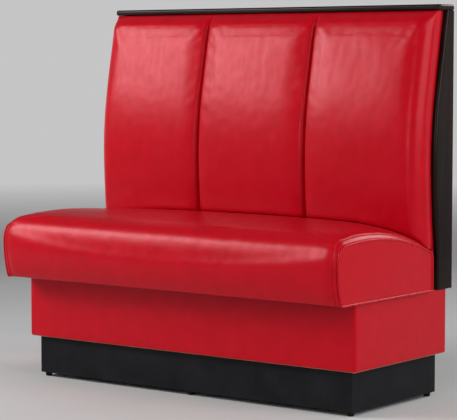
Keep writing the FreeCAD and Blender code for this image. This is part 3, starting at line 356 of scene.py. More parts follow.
def make_back_cushion(seat_top):
    """Channelled back cushion, its foot shaped to the seat below."""
    columns = front_columns()
    foot_y = cushion_face(columns, np.full(len(columns), FOOT_GUESS))
    foot = np.array([seat_top(x, y + FOOT_REACH) for x, y in zip(columns, foot_y)]) + CONTACT_GAP
    rings = []
    for rise in RISES:
        heights = mix(foot, CUSHION_TOP, rise / RISE_STEPS)
        low = max(0, 1 - (heights - foot).mean() / FOOT_ROUND)
        tuck = FOOT_TUCK * (1 - math.sqrt(1 - low ** 2))
        rings.append(cushion_ring(heights, columns, tuck))
    rings.insert(0, closing_ring(rings[0], len(columns)))
    rings.append(closing_ring(rings[-1], len(columns)))
    rings = np.array(rings)
    faces = grid_faces(len(rings), rings.shape[1], wrap=True)
    piece = new_object("back_cushion", rings.reshape(-1, 3), faces)
    weld(piece)
    return piece


def closing_ring(ring, count):
    """Ring whose front and rear both lie on the middle line of a level ring, to close its end."""
    closed = ring.copy()
    side = len(SIDE_SHARES)
    rear = slice(count + side, 2 * count + side)
    middle = (ring[:count] + ring[rear][::-1]) / 2
    closed[:count] = middle
    closed[rear] = middle[::-1]
    closed[count:count + side] = middle[-1]
    closed[2 * count + side:] = middle[0]
    return closed


def weld(piece, distance=0.02 * MM):
    """Join points that lie on each other and turn all faces outwards."""
    mesh = bmesh.new()
    mesh.from_mesh(piece.data)
    bmesh.ops.remove_doubles(mesh, verts=mesh.verts, dist=distance)
    bmesh.ops.dissolve_degenerate(mesh, edges=mesh.edges, dist=distance / 2)
    bmesh.ops.recalc_face_normals(mesh, faces=mesh.faces)
    mesh.to_mesh(piece.data)
    mesh.free()
    piece.data.polygons.foreach_set("use_smooth", [True] * len(piece.data.polygons))


# Seat cushion: a section of tangent arcs whose size changes towards the ends
SEAT_REAR_Y = SEAT_HIGH.y
SEAT_FOOT_Z = SEAT_LOW.z
SEAT_HALF = SEAT_HIGH.x
SEAT_DEPTH = 567 * MM
SEAT_FRONT_Y = REAR - SEAT_DEPTH
SEAT_END_PULL = 5 * MM
SEAT_HEM_TUCK = 19 * MM
SEAT_HEM_Y = SEAT_FRONT_Y + SEAT_HEM_TUCK
SEAT_HEM_RISE = 8 * MM
BULGE_RISE = 118 * MM
SHOULDER_RADII = (38 * MM, 60 * MM)
SHOULDER_DEGREES = 82.5
EASE_DEGREES = 18
EASE_SHARE = 2.33
TIGHT_SHARE = 0.917
REAR_RISES = (112 * MM, 177 * MM)
REAR_CORNER = 20 * MM
FRONT_RUN = 13 * MM
REAR_RUN = 100 * MM
STITCH_INSET = 12 * MM
STITCH_DEPTH = 2 * MM
STITCH_WIDTH = 1.8 * MM
SWELL = 2.6 * MM
SWELL_REACH = 34 * MM
END_FACING = 0.9
DUST_LOW, DUST_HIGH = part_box("seat_dust_cover")
DUST_RECESS = 3.6 * MM
DUST_EDGE = (1 * MM, 9 * MM)
DUST_FIND = 0.5 * MM
HEM_STEPS, EASE_STEPS, SHOULDER_STEPS, TOP_STEPS, CORNER_STEPS = 14, 6, 14, 40, 7
DOWN_STEPS, UNDER_STEPS = 9, 24
SEAT_COLUMNS = (0, 1.5, 3, 5, 7.5, 9.5, 10.8, 11.5, 12, 12.5, 13.2, 14.5, 17, 20, 24, 29, 35,
                42, 50, 59)
SEAT_COLUMN_SPACING = 9.5 * MM
SEAT_BROAD_WAVES = (0.5 * MM, 85 * MM, 11)
SEAT_FINE_WAVES = (0.22 * MM, 30 * MM, 12)
BACK_PLEATS = (0.22 * MM, 26 * MM, 21)
BACK_BROAD_WAVES = (0.45 * MM, 75 * MM, 22)
BACK_FINE_WAVES = (0.16 * MM, 24 * MM, 23)
SEAT_STRETCH = (1, 0.8, 0.8)
BACK_STRETCH = (1, 0.5, 0.7)
PLEAT_STRETCH = (1, 0.3, 0.3)
# Ranges over which the vinyl's waves and swelling set in or end
SEAT_FREE_Z = (SEAT_FOOT_Z + 2 * MM, SEAT_FOOT_Z + 25 * MM)
SEAT_FREE_REAR = (1 * MM, 30 * MM)
SEAT_FREE_END = (10 * MM, 50 * MM)
BACK_FACING = (0.3, 0.8)
BACK_FREE_SEAM = (6 * MM, 40 * MM)
PLEATS_START = (700 * MM, 960 * MM)
PLEATS_END = (995 * MM, 1020 * MM)
DENTS_END = (1010 * MM, 1035 * MM)


def arc_through(start, end, count):
    """Points of the arc that leaves a joint (y, z, heading) and reaches another, start included."""
    run = end[0] - start[0]
    rise = end[1] - start[1]
    chord = math.hypot(run, rise)
    bow = start[2] - math.atan2(rise, run)
    bow = math.atan2(math.sin(bow), math.cos(bow))
    shares = np.arange(count) / count
    if abs(bow) < 1e-6:
        return [(start[0] + run * share, start[1] + rise * share) for share in shares]
    radius = chord / (2 * math.sin(bow))
    points = []
    for share in shares:
        turn = 2 * bow * share
        along = start[2] - turn
        points.append((start[0] + radius * (math.sin(start[2]) - math.sin(along)),
                       start[1] - radius * (math.cos(start[2]) - math.cos(along))))
    return points


def arrive(joint, y, z):
    """Joint at the end of the arc that leaves a joint and reaches a point."""
    chord = math.atan2(z - joint[1], y - joint[0])
    return (y, z, 2 * chord - joint[2])


def seat_ring(front_share, rear_share):
    """Points (y, z) of the seat's section from its front hem over the top and back underneath."""
    front = SEAT_FRONT_Y + SEAT_END_PULL * (1 - front_share)
    radius = mix(*SHOULDER_RADII, front_share)
    rise = mix(*REAR_RISES, rear_share)
    ease = math.radians(EASE_DEGREES)
    sweep = math.radians(SHOULDER_DEGREES)
    ease_radius = radius * EASE_SHARE
    tight_radius = radius * TIGHT_SHARE
    shoulder_z = SEAT_FOOT_Z + BULGE_RISE + radius * math.sin(sweep)
    eased_z = shoulder_z - tight_radius * (math.sin(sweep) - math.sin(ease))
    bulge_z = eased_z - ease_radius * math.sin(ease)
    up = math.pi / 2
    down = arrive((front, bulge_z, -up), SEAT_HEM_Y, SEAT_FOOT_Z + SEAT_HEM_RISE)
    hem = (down[0], down[1], down[2] + math.pi)
    bulge = (front, bulge_z, up)
    eased = (front + ease_radius * (1 - math.cos(ease)), eased_z, up - ease)
    shoulder_y = eased[0] + tight_radius * (math.cos(ease) - math.cos(sweep))
    shoulder = (shoulder_y, shoulder_z, up - sweep)
    rear_top = arrive(shoulder, SEAT_REAR_Y - REAR_CORNER, SEAT_FOOT_Z + rise)
    turn = (SEAT_REAR_Y - rear_top[0]) / (1 + math.sin(-rear_top[2]))
    rear_end = (SEAT_REAR_Y, rear_top[1] - turn * math.cos(rear_top[2]), -up)
    points = [(hem[0] - SEAT_HEM_RISE / math.tan(hem[2]), SEAT_FOOT_Z)]
    points += arc_through(hem, bulge, HEM_STEPS)
    points += arc_through(bulge, eased, EASE_STEPS)
    points += arc_through(eased, shoulder, SHOULDER_STEPS)
    points += arc_through(shoulder, rear_top, TOP_STEPS)
    points += arc_through(rear_top, rear_end, CORNER_STEPS)
    for step in range(DOWN_STEPS + 1):
        points.append((SEAT_REAR_Y, mix(rear_end[1], SEAT_FOOT_Z, step / DOWN_STEPS)))
    for step in range(1, UNDER_STEPS):
        points.append((mix(SEAT_REAR_Y, points[0][0], step / UNDER_STEPS), SEAT_FOOT_Z))
    return np.array(points)


def seat_shares(distance):
    """Shares of the seat's full form, front and rear, at a distance from its end."""
    front = 1 - math.exp(-distance / FRONT_RUN)
    rear = (1 - math.exp(-distance / REAR_RUN)) / (1 - math.exp(-SEAT_HALF / REAR_RUN))
    return front, min(1, rear)


def seat_columns():
    """Places across of the seat's sections, finer at the ends and at the stitched line."""
    near = [value * MM for value in SEAT_COLUMNS]
    middle = SEAT_HALF - near[-1]
    count = int(middle / SEAT_COLUMN_SPACING)
    left = [-SEAT_HALF + value for value in near]
    left += [-middle + middle * step / count for step in range(1, count)]
    return left + [0.0] + [-x for x in reversed(left)]


def make_seat_cushion():
    """Crowned seat cushion, its sections closer together where the stitched line beside each end's
    piping goes.
    """
    rings = []
    for x in seat_columns():
        points = seat_ring(*seat_shares(SEAT_HALF - abs(x)))
        rings.append(np.column_stack([np.full(len(points), x), points]))
    return closed_tube("seat_cushion", rings)


def seat_upholstery_shape(piece):
    """Stitched groove, swelling, slight waves and the recess of the dust cover underneath."""
    points = places(piece)
    direction = normals(piece)
    end = SEAT_HALF - np.abs(points[:, 0])
    free = smooth_step(points[:, 2], *SEAT_FREE_Z)
    free *= smooth_step(SEAT_REAR_Y - points[:, 1], *SEAT_FREE_REAR)
    not_end = np.abs(direction[:, 0]) < END_FACING
    groove = STITCH_DEPTH * np.exp(-((end - STITCH_INSET) / STITCH_WIDTH) ** 2)
    swell = SWELL * (end / SWELL_REACH) * np.exp(1 - end / SWELL_REACH)
    swell *= smooth_step(end, 0, SWELL_REACH)
    wave = ripple(points * SEAT_STRETCH, *SEAT_BROAD_WAVES)
    wave += ripple(points, *SEAT_FINE_WAVES)
    wave *= smooth_step(end, *SEAT_FREE_END)
    offset = (swell * free - groove + wave * free) * not_end
    points += direction * offset[:, None]
    low = points[:, 2] < SEAT_FOOT_Z + DUST_FIND
    inside = np.minimum(DUST_HIGH.x - np.abs(points[:, 0]),
                        np.minimum(points[:, 1] - DUST_LOW.y, DUST_HIGH.y - points[:, 1]))
    points[:, 2] += low * DUST_RECESS * smooth_step(inside, *DUST_EDGE)
    set_places(piece, points)


def back_upholstery_shape(piece):
    """Slight waves of the vinyl on the back mesh, with faint pleats under the channels' tops."""
    points = places(piece)
    direction = normals(piece)
    front = smooth_step(-direction[:, 1], *BACK_FACING)
    seam_distance = np.abs(np.abs(points[:, 0]) - SEAM_PLACE)
    clear = smooth_step(seam_distance, *BACK_FREE_SEAM)
    high = smooth_step(points[:, 2], *PLEATS_START)
    high *= 1 - smooth_step(points[:, 2], *PLEATS_END)
    pleats = ripple(points * PLEAT_STRETCH, *BACK_PLEATS) * high
    dents = ripple(points * BACK_STRETCH, *BACK_BROAD_WAVES)
    dents += ripple(points, *BACK_FINE_WAVES)
    top = 1 - smooth_step(points[:, 2], *DENTS_END)
    offset = (pleats + dents * top) * front * clear
    set_places(piece, points + direction * offset[:, None])


# Cloth simulation of the cushions
SWELL_VOXEL = 8 * MM
SWELL_PRESSURE = 4.0
SWELL_FRAMES = 20
SWELL_NEAR = 4
SWELL_CAP = 3.0 * MM
SEAT_HELD_RISE = 18 * MM
SEAT_HELD_REAR = 24 * MM
SEAT_HELD_END = STITCH_INSET + 2 * MM
BACK_HELD_SEAM = 7 * MM
BACK_HELD_TOP = 26 * MM
BACK_HELD_FOOT = 14 * MM
BACK_HELD_SIDE = 12 * MM


def swell(piece, held):
    """Swell a cushion by a cloth simulation under pressure; held marks the points that stay.

    The simulation runs on a coarse skin of the piece, and each point of the piece follows the
    skin's nearest points, by at most the cap.
    """
    skin = new_object("skin", places(piece), [tuple(face.vertices) for face in piece.data.polygons])
    remesh = skin.modifiers.new("remesh", "REMESH")
    remesh.mode = "VOXEL"
    remesh.voxel_size = SWELL_VOXEL
    apply_modifiers(skin)
    rest = places(skin)
    pins = skin.vertex_groups.new(name="pins")
    pins.add([int(index) for index in np.flatnonzero(held(rest))], 1.0, "REPLACE")
    cloth = skin.modifiers.new("swell", "CLOTH")
    cloth.settings.vertex_group_mass = "pins"
    cloth.settings.use_pressure = True
    cloth.settings.uniform_pressure_force = SWELL_PRESSURE
    cloth.settings.effector_weights.gravity = 0
    scene = bpy.context.scene
    for step in range(1, SWELL_FRAMES + 1):
        scene.frame_set(step)
    apply_modifiers(skin)
    pull = places(skin) - rest
    scene.frame_set(1)
    size = np.linalg.norm(pull, axis=1)
    pull *= (SWELL_CAP * np.tanh(size / SWELL_CAP) / np.maximum(size, 1e-9))[:, None]
    tree = KDTree(len(rest))
    for index, point in enumerate(rest):
        tree.insert(point, index)
    tree.balance()
    points = places(piece)
    for index, point in enumerate(points):
        near = tree.find_n(point, SWELL_NEAR)
        weights = np.array([1 / (distance + MM) for _, _, distance in near])
        weights /= weights.sum()
        points[index] += weights @ pull[[found for _, found, _ in near]]
    set_places(piece, points)
    bpy.data.objects.remove(skin, do_unlink=True)


def seat_held(points):
    """Points of the seat cushion's skin that its seams, its board and the back hold in place."""
    foot = points[:, 2] < SEAT_FOOT_Z + SEAT_HELD_RISE
    rear = points[:, 1] > SEAT_REAR_Y - SEAT_HELD_REAR
    end = np.abs(points[:, 0]) > SEAT_HALF - SEAT_HELD_END
    return foot | rear | end


def back_held(points):
    """Points of the back cushion's skin that its seams, the panels, the cap and the seat hold."""
    seam = np.abs(np.abs(points[:, 0]) - SEAM_PLACE) < BACK_HELD_SEAM
    behind = panel_edge(points[:, 2]) - points[:, 1] < EDGE_AHEAD
    top = points[:, 2] > PILLOW_TOP - BACK_HELD_TOP
    foot = points[:, 2] < SEAT_HIGH.z + BACK_HELD_FOOT
    side = np.abs(points[:, 0]) > CUSHION_HALF - BACK_HELD_SIDE
    return seam | behind | top | foot | side


def subdivided(piece, levels=1):
    modifier = piece.modifiers.new("smooth", "SUBSURF")
    modifier.levels = levels
    modifier.render_levels = levels
    return apply_modifiers(piece)


def seat_top_finder():
    """Function that gives the height of the seat cushion's top at a place."""
    surface = BVHTree.FromObject(seat_cushion, bpy.context.evaluated_depsgraph_get())

    def seat_top(x, y):
        x = max(-SEAT_HALF + 2 * MM, min(SEAT_HALF - 2 * MM, x))
        y = min(y, SEAT_REAR_Y - 1 * MM)
        return surface.ray_cast(Vector((x, y, 1)), Vector((0, 0, -1)))[0].z

    return seat_top


# Ends of the seat: piping round the end's outline and a panel sewn inside it
PIPING_RADIUS = (WELT_HIGH.x - WELT_LOW.x) / 2
PIPING_PROUD = 1 * MM
PIPING_SIDES = 12
OUTLINE_SPACING = 3.5 * MM
OUTLINE_ROUND = 4 * MM
OUTLINE_REACH = 4
END_EDGE = ((3, 0), (3, 2.6), (3.5, 3.4), (4.2, 3.9), (5, 4.15))
END_SUNK = 1 * MM
END_SHARES = (0.97, 0.92, 0.84, 0.73, 0.6, 0.45, 0.3, 0.15)
END_MIDDLE_RISE = 72 * MM
END_DOME = 1.7 * MM
END_DOME_REACH = np.array([165, 66]) * MM
STITCH_FIRST = 4
STITCH_LAST = 74
STITCH_SPACING = 5.0 * MM
STITCH_LENGTH = 3.7 * MM
STITCH_SIDES = 6
STITCH_TAPER = (0.35, 0.85, 1.0, 0.85, 0.35)
THREAD_RADIUS = 0.45 * MM
STOP_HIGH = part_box("seat_stop_rail")[1]
PULL_SKIN = 1.6 * MM
PULL_SLACK = 0.8 * MM
PULL_WAVE = (60 * MM, 31)
PULL_WAVE_SHARE = 0.3
PULL_COLUMNS = 60
PULL_ROWS = 12
PULL_CLEAR = 0.6 * MM
PULL_OVERLAP = 6 * MM
PULL_REAR_GAP = 0.3 * MM


def outline_offset(points, distance):
    """Closed outline (y, z) moved outwards by a distance."""
    ahead = np.roll(points, -1, axis=0) - points
    behind = points - np.roll(points, 1, axis=0)
    ahead /= np.linalg.norm(ahead, axis=1)[:, None]
    behind /= np.linalg.norm(behind, axis=1)[:, None]
    tangent = ahead + behind
    tangent /= np.linalg.norm(tangent, axis=1)[:, None]
    normal = np.column_stack([tangent[:, 1], -tangent[:, 0]])
    centre = points.mean(axis=0)
    facing = np.sign(np.sum(normal * (points - centre), axis=1).sum())
    return points + normal * facing * distance


def end_outline():
    """Evenly spaced outline (y, z) of the seat's end, its sharp corners rounded."""
    points = seat_ring(0, 0)
    closed = np.vstack([points, points[:1]])
    run = np.concatenate([[0], np.cumsum(np.linalg.norm(np.diff(closed, axis=0), axis=1))])
    count = int(run[-1] / OUTLINE_SPACING)
    even = np.arange(count) * run[-1] / count
    outline = np.column_stack([np.interp(even, run, closed[:, axis]) for axis in (0, 1)])
    steps = range(-OUTLINE_REACH, OUTLINE_REACH + 1)
    weights = [math.exp(-0.5 * (step * OUTLINE_SPACING / OUTLINE_ROUND) ** 2) for step in steps]
    turned = [np.roll(outline, step, axis=0) * weight for step, weight in zip(steps, weights)]
    return sum(turned) / sum(weights)


def make_piping(name, side):
    """Piping round one end of the seat."""
    centre = outline_offset(end_outline(), PIPING_PROUD - PIPING_RADIUS)
    x = side * (SEAT_HALF + PIPING_RADIUS)
    rings = []
    for step in range(PIPING_SIDES):
        angle = 2 * math.pi * step / PIPING_SIDES
        ring = outline_offset(centre, PIPING_RADIUS * math.cos(angle))
        ring_x = np.full(len(ring), x + PIPING_RADIUS * math.sin(angle))
        rings.append(np.column_stack([ring_x, ring]))
    rings.append(rings[0])
    rings = np.array(rings)
    rows, columns, _ = rings.shape
    piece = new_object(name, rings.reshape(-1, 3), grid_faces(rows, columns, wrap=True))
    weld(piece)
    return piece


def make_end_panel(name, side):
    """Slightly domed panel sewn into one end of the seat, inside its piping."""
    outline = end_outline()
    middle_y = (outline[:, 0].min() + outline[:, 0].max()) / 2
    middle = np.array([middle_y, SEAT_FOOT_Z + END_MIDDLE_RISE])
    rings = []
    for inset, rise in END_EDGE:
        ring = outline_offset(outline, -inset * MM)
        rings.append(end_panel_ring(ring, middle, rise * MM, side))
    for share in END_SHARES:
        rings.append(end_panel_ring(mix(middle, ring, share), middle, rise * MM, side))
    return closed_tube(name, rings)


def end_panel_ring(ring, middle, rise, side):
    """Ring of the end panel on its gently domed face."""
    away = ((ring - middle) / END_DOME_REACH) ** 4
    dome = END_DOME * np.exp(-away.sum(axis=1))
    return np.column_stack([side * (SEAT_HALF - END_SUNK + rise + dome), ring])


def make_stitches(name, side):
    """Row of top stitches along the stitched line, each lying on the seat's surface."""
    surface = BVHTree.FromObject(seat_cushion, bpy.context.evaluated_depsgraph_get())
    x = side * (SEAT_HALF - STITCH_INSET)
    path = seat_ring(*seat_shares(STITCH_INSET))[STITCH_FIRST:STITCH_LAST]
    run = np.concatenate([[0], np.cumsum(np.linalg.norm(np.diff(path, axis=0), axis=1))])
    even = np.arange(STITCH_SPACING, run[-1], STITCH_SPACING)
    line_y, line_z = (np.interp(even, run, path[:, axis]) for axis in (0, 1))
    line = [Vector((x, y, z)) for y, z in zip(line_y, line_z)]
    found = [surface.find_nearest(point)[:2] for point in line]
    points = []
    faces = []
    for (place, up), (after, _) in zip(found, found[1:]):
        along = (after - place).normalized()
        across = along.cross(up).normalized()
        first = len(points)
        for step, size in enumerate(STITCH_TAPER):
            centre = place + along * STITCH_LENGTH * (step / (len(STITCH_TAPER) - 1) - 0.5)
            centre -= up * THREAD_RADIUS * (1 - size)
            for corner in range(STITCH_SIDES):
                angle = 2 * math.pi * corner / STITCH_SIDES
                spoke = across * math.cos(angle) + up * math.sin(angle)
                points.append(centre + spoke * THREAD_RADIUS * size)
        faces += grid_faces(len(STITCH_TAPER), STITCH_SIDES, wrap=True, first=first)
        faces.append(tuple(range(first + STITCH_SIDES - 1, first - 1, -1)))
        last = first + (len(STITCH_TAPER) - 1) * STITCH_SIDES
        faces.append(tuple(range(last, last + STITCH_SIDES)))
    piece = new_object(name, points, faces)
    outward(piece)
    return piece


def make_pull_down():
    """Vinyl drawn down the backer board, from behind the back cushion to the seat's stop strip."""
    top = back_foot_height(0) + PULL_OVERLAP
    half = CUSHION_HALF - SIDE_TUCK
    columns = np.linspace(-half, half, PULL_COLUMNS)
    rings = []
    for height in np.linspace(STOP_HIGH.z + PULL_CLEAR, top, PULL_ROWS):
        level = np.full(PULL_COLUMNS, height)
        places_here = np.column_stack([columns, np.zeros(PULL_COLUMNS), level * PULL_WAVE_SHARE])
        slack = np.abs(PULL_SLACK * waves(places_here, *PULL_WAVE))
        edge = panel_edge(level)
        front = np.column_stack([columns, edge - PULL_SKIN - slack, level])
        rear = np.column_stack([columns[::-1], edge - PULL_REAR_GAP, level])
        rings.append(np.vstack([front, rear]))
    return closed_tube("back_pull_down", rings)


BACK_PIPING_RADIUS = 3.6 * MM
BACK_PIPING_PROUD = 1 * MM
BACK_PIPING_SPACING = 6 * MM
FOOT_FIND = 3 * MM


def make_back_piping(name, side):
    """Piping up the side edge of the back cushion, from the seat to the cap."""
    low = back_foot_height(side)
    heights = np.arange(low, CUSHION_TOP, BACK_PIPING_SPACING)
    heights = np.append(heights, CUSHION_TOP)
    ahead = panel_edge(heights) - edge_ahead(heights)
    rings = []
    for height, y in zip(heights, ahead):
        ring = []
        for step in range(PIPING_SIDES):
            angle = 2 * math.pi * step / PIPING_SIDES
            ring.append((side * (CUSHION_HALF - BACK_PIPING_RADIUS + BACK_PIPING_PROUD)
                         + BACK_PIPING_RADIUS * math.cos(angle),
                         y + BACK_PIPING_RADIUS * math.sin(angle), height))
        rings.append(ring)
    return closed_tube(name, rings)


def back_foot_height(side):
    """Height just above the back cushion's foot at its left (-1), middle (0) or right (1)."""
    points = places(back_cushion)
    near = np.abs(points[:, 0] - side * CUSHION_HALF) < FOOT_FIND
    return points[near, 2].min() + 1 * MM


# Base skirt: vinyl wrapped round the front and sides of the base box
SKIRT_SKIN = 3 * MM
SKIRT_CORNER = 7 * MM
SKIRT_REAR_CORNER = 3 * MM
SKIRT_CORNER_STEPS = 8
SKIRT_RETURN = 40 * MM
SKIRT_HEM = 5 * MM
SKIRT_HEM_STEPS = 6
SKIRT_COLUMN = 14 * MM
SKIRT_ROW = 9 * MM
SKIRT_FIRST_ROW = 8 * MM
SKIRT_TOP_GAP = 0.3 * MM


def skirt_path():
    """Points (x, y, outward x, outward y) of the skirt, from its left rear round the front."""
    half = BASE_HIGH.x
    front, rear = BASE_LOW.y, BASE_HIGH.y
    corners = [((-half + SKIRT_RETURN, rear), None), ((-half, rear), SKIRT_REAR_CORNER),
               ((-half, front), SKIRT_CORNER), ((half, front), SKIRT_CORNER),
               ((half, rear), SKIRT_REAR_CORNER), ((half - SKIRT_RETURN, rear), None)]
    points = []
    places_2d = [np.array(corner[0]) for corner in corners]
    for index, (corner, radius) in enumerate(corners):
        here = places_2d[index]
        if radius is None:
            near = places_2d[1] if index == 0 else places_2d[-2]
            way = (near - here) / np.linalg.norm(near - here)
            way = way if index == 0 else -way
            points.append((*here, way[1], -way[0]))
            continue
        into = (here - places_2d[index - 1]) / np.linalg.norm(here - places_2d[index - 1])
        out = (places_2d[index + 1] - here) / np.linalg.norm(places_2d[index + 1] - here)
        centre = here - into * radius + out * radius
        for step in range(SKIRT_CORNER_STEPS + 1):
            angle = math.pi / 2 * step / SKIRT_CORNER_STEPS
            normal = -out * math.cos(angle) + into * math.sin(angle)
            points.append((*(centre + normal * radius), *normal))
    path = [points[0]]
    for point in points[1:]:
        gap = math.hypot(point[0] - path[-1][0], point[1] - path[-1][1])
        steps = max(1, int(gap / SKIRT_COLUMN))
        last = path[-1]
        for step in range(1, steps + 1):
            share = step / steps
            path.append(tuple(mix(a, b, share) for a, b in zip(last, point)))
    path = np.array(path)
    path[:, 2:] /= np.linalg.norm(path[:, 2:], axis=1)[:, None]
    return path


def make_base_skirt():
    """Vinyl round the front and sides of the base, turned in at its foot."""
    path = skirt_path()
    low, high = BASE_LOW.z, BASE_HIGH.z - SKIRT_TOP_GAP
    profile = []
    hem = SKIRT_HEM
    for step in range(SKIRT_HEM_STEPS + 1):
        angle = math.pi / 2 * step / SKIRT_HEM_STEPS
        profile.append((-hem + hem * math.sin(angle), low + hem - hem * math.cos(angle)))
    for height in np.arange(low + hem + SKIRT_FIRST_ROW, high, SKIRT_ROW):
        profile.append((0, height))
    profile.append((0, high))
    inner = [(-SKIRT_SKIN, height) for _, height in reversed(profile[SKIRT_HEM_STEPS:])]
    inner.append((-hem, low + SKIRT_SKIN))
    ring = profile + inner
    rings = []
    for x, y, out_x, out_y in path:
        rings.append([(x + out_x * offset, y + out_y * offset, z) for offset, z in ring])
    return closed_tube("base_skirt", rings)


seat_cushion = make_seat_cushion()
swell(seat_cushion, seat_held)
subdivided(seat_cushion)
seat_upholstery_shape(seat_cushion)
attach(seat_cushion, "seat")
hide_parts("seat_cover", "seat_foam")

back_cushion = make_back_cushion(seat_top_finder())
swell(back_cushion, back_held)
subdivided(back_cushion)
back_upholstery_shape(back_cushion)
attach(back_cushion, "frame")
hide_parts("back_cover", "back_foam_left", "back_foam_centre", "back_foam_right")

for side_name, side in (("left", -1), ("right", 1)):
    back_piping = make_back_piping("back_piping_" + side_name, side)
    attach(back_piping, "frame")
    piping = make_piping("seat_piping_" + side_name, side)
    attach(piping, "seat")
    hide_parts("seat_welt_" + side_name)
    stitches = make_stitches("seat_stitches_" + side_name, side)
    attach(stitches, "seat")
    end_panel = make_end_panel("seat_end_" + side_name, side)
    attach(end_panel, "seat")
    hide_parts("seat_boxing_" + side_name)

back_pull_down = make_pull_down()
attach(back_pull_down, "frame")

base_skirt = make_base_skirt()
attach(base_skirt, "frame")
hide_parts("base_cover")


def node_tree(name):
    """New material with its tree and its shader."""
    material = bpy.data.materials.new(name)
    material.use_nodes = True
    return material, material.node_tree, material.node_tree.nodes["Principled BSDF"]


def add_node(tree, kind, sources=(), **settings):
    """Node of a kind with its settings; its sources are (input's name or place, socket)."""
    node = tree.nodes.new("ShaderNode" + kind)
    for key, value in settings.items():
        if hasattr(node, key):
            setattr(node, key, value)
        else:
            node.inputs[key.replace("_", " ").title()].default_value = value
    for name, socket in sources:
        tree.links.new(socket, node.inputs[name])
    return node


def noise(tree, vector, scale, detail=3.0, roughness=0.5):
    """Noise texture's value, about 0 to 1, over a vector."""
    return add_node(tree, "TexNoise", [("Vector", vector)], scale=scale, detail=detail,
                    roughness=roughness).outputs["Fac"]


def ramp(tree, value, *stops):
    """Colours or greys at places of a value from 0 to 1."""
    node = add_node(tree, "ValToRGB", [("Fac", value)])
    elements = node.color_ramp.elements
    while len(elements) < len(stops):
        elements.new(0.5)
    for element, (place, colour) in zip(elements, stops):
        element.position = place
        element.color = (colour, colour, colour, 1) if isinstance(colour, float) else (*colour, 1)
    return node.outputs["Color"]


def bump(tree, height, distance, strength=1.0, normal=None):
    sources = [("Height", height)] + ([("Normal", normal)] if normal else [])
    return add_node(tree, "Bump", sources, distance=distance, strength=strength).outputs["Normal"]


def space(tree, scale=(1, 1, 1)):
    """Places in the frame, in metres, stretched by a scale along each axis."""
    place = add_node(tree, "TexCoord").outputs["Object"]
    if scale == (1, 1, 1):
        return place
    return add_node(tree, "Mapping", [("Vector", place)], scale=scale).outputs["Vector"]


def feed(tree, shader, **sockets):
    for name, socket in sockets.items():
        tree.links.new(socket, shader.inputs[name.replace("_", " ").title()])


def shine(shader, ior, level):
    shader.inputs["IOR"].default_value = ior
    shader.inputs["Specular IOR Level"].default_value = level


GRAIN_RATE = 1 / (1.1 * MM)
MOTTLE_RATE = 1 / (38 * MM)
BLOTCH_RATE = 1 / (15 * MM)
GRAIN_DEPTH = 0.12 * MM
BLOTCH_DEPTH = 0.25 * MM
VINYL_DARK = (0.45, 0.0008, 0.0075)
VINYL_LIGHT = (0.51, 0.0018, 0.0115)
VINYL_IOR = 1.25
VINYL_SHINE = 0.95
VINYL_SHINE_TINT = (1.0, 0.42, 0.47, 1)
WOOD_GRAIN = (55.0, 3.2)
WOOD_PORES = (420.0, 14.0)
FIGURE_DEPTH = 0.2 * MM
PORE_DEPTH = 0.12 * MM
WOOD_IOR = 1.2
WOOD_SHINE = 0.6
LAMINATE_SHINE = 0.35
PEBBLE_RATE = 1 / (0.9 * MM)
PEBBLE_DEPTH = 0.06 * MM
SCRATCH_DEPTH = 0.03 * MM


def wood_scale(across, with_grain, along):
    """Scale of the three axes from the rates across and with the grain, which runs along one."""
    return tuple(with_grain if axis == along else across for axis in range(3))


def vinyl_material(name, roughness=(0.28, 0.35)):
    """Upholstery vinyl: fine embossed grain, slightly uneven gloss and colour."""
    material, tree, shader = node_tree(name)
    place = space(tree)
    upright = space(tree, (1, 1, 0.35))
    mottle = noise(tree, place, MOTTLE_RATE, 4.0)
    colour = ramp(tree, mottle, (0.3, VINYL_DARK), (0.7, VINYL_LIGHT))
    blotches = noise(tree, upright, BLOTCH_RATE, 2.0)
    gloss = ramp(tree, blotches, (0.3, roughness[0]), (0.7, roughness[1]))
    blotch = bump(tree, noise(tree, upright, BLOTCH_RATE * 0.8, 2.0), BLOTCH_DEPTH, 0.3)
    grain = add_node(tree, "TexVoronoi", [("Vector", place)], scale=GRAIN_RATE, randomness=0.9)
    grain_bump = bump(tree, grain.outputs["Distance"], GRAIN_DEPTH, 0.25, blotch)
    feed(tree, shader, base_color=colour, roughness=gloss, normal=grain_bump)
    shine(shader, VINYL_IOR, VINYL_SHINE)
    shader.inputs["Specular Tint"].default_value = VINYL_SHINE_TINT
    return material


def wood_material(name, along, dark, light, roughness=(0.20, 0.28)):
    """Stained wood under satin lacquer, its grain along an axis: 0, 1 or 2."""
    material, tree, shader = node_tree(name)
    grain_space = space(tree, wood_scale(*WOOD_GRAIN, along))
    pore_space = space(tree, wood_scale(*WOOD_PORES, along))
    figure = noise(tree, grain_space, 1.0, 6.0, 0.62)
    pores = noise(tree, pore_space, 1.0, 2.0)
    colour = ramp(tree, figure, (0.30, dark), (0.72, light))
    gloss = ramp(tree, figure, (0.3, roughness[0]), (0.7, roughness[1]))
    surface = bump(tree, pores, PORE_DEPTH, 0.25, bump(tree, figure, FIGURE_DEPTH, 0.3))
    feed(tree, shader, base_color=colour, roughness=gloss, normal=surface)
    shine(shader, WOOD_IOR, WOOD_SHINE)
    return material


def laminate_material(name, dark, light, roughness=(0.38, 0.5)):
    """Dark sheet laminate: faint cloudiness and a fine pebbled face."""
    material, tree, shader = node_tree(name)
    place = space(tree)
    cloud = noise(tree, place, 14.0, 4.0)
    pebble = noise(tree, place, PEBBLE_RATE, 2.0)
    colour = ramp(tree, cloud, (0.3, dark), (0.7, light))
    gloss = ramp(tree, cloud, (0.3, roughness[0]), (0.7, roughness[1]))
    surface = bump(tree, pebble, PEBBLE_DEPTH, 0.3)
    feed(tree, shader, base_color=colour, roughness=gloss, normal=surface)
    shine(shader, WOOD_IOR, LAMINATE_SHINE)
    return material


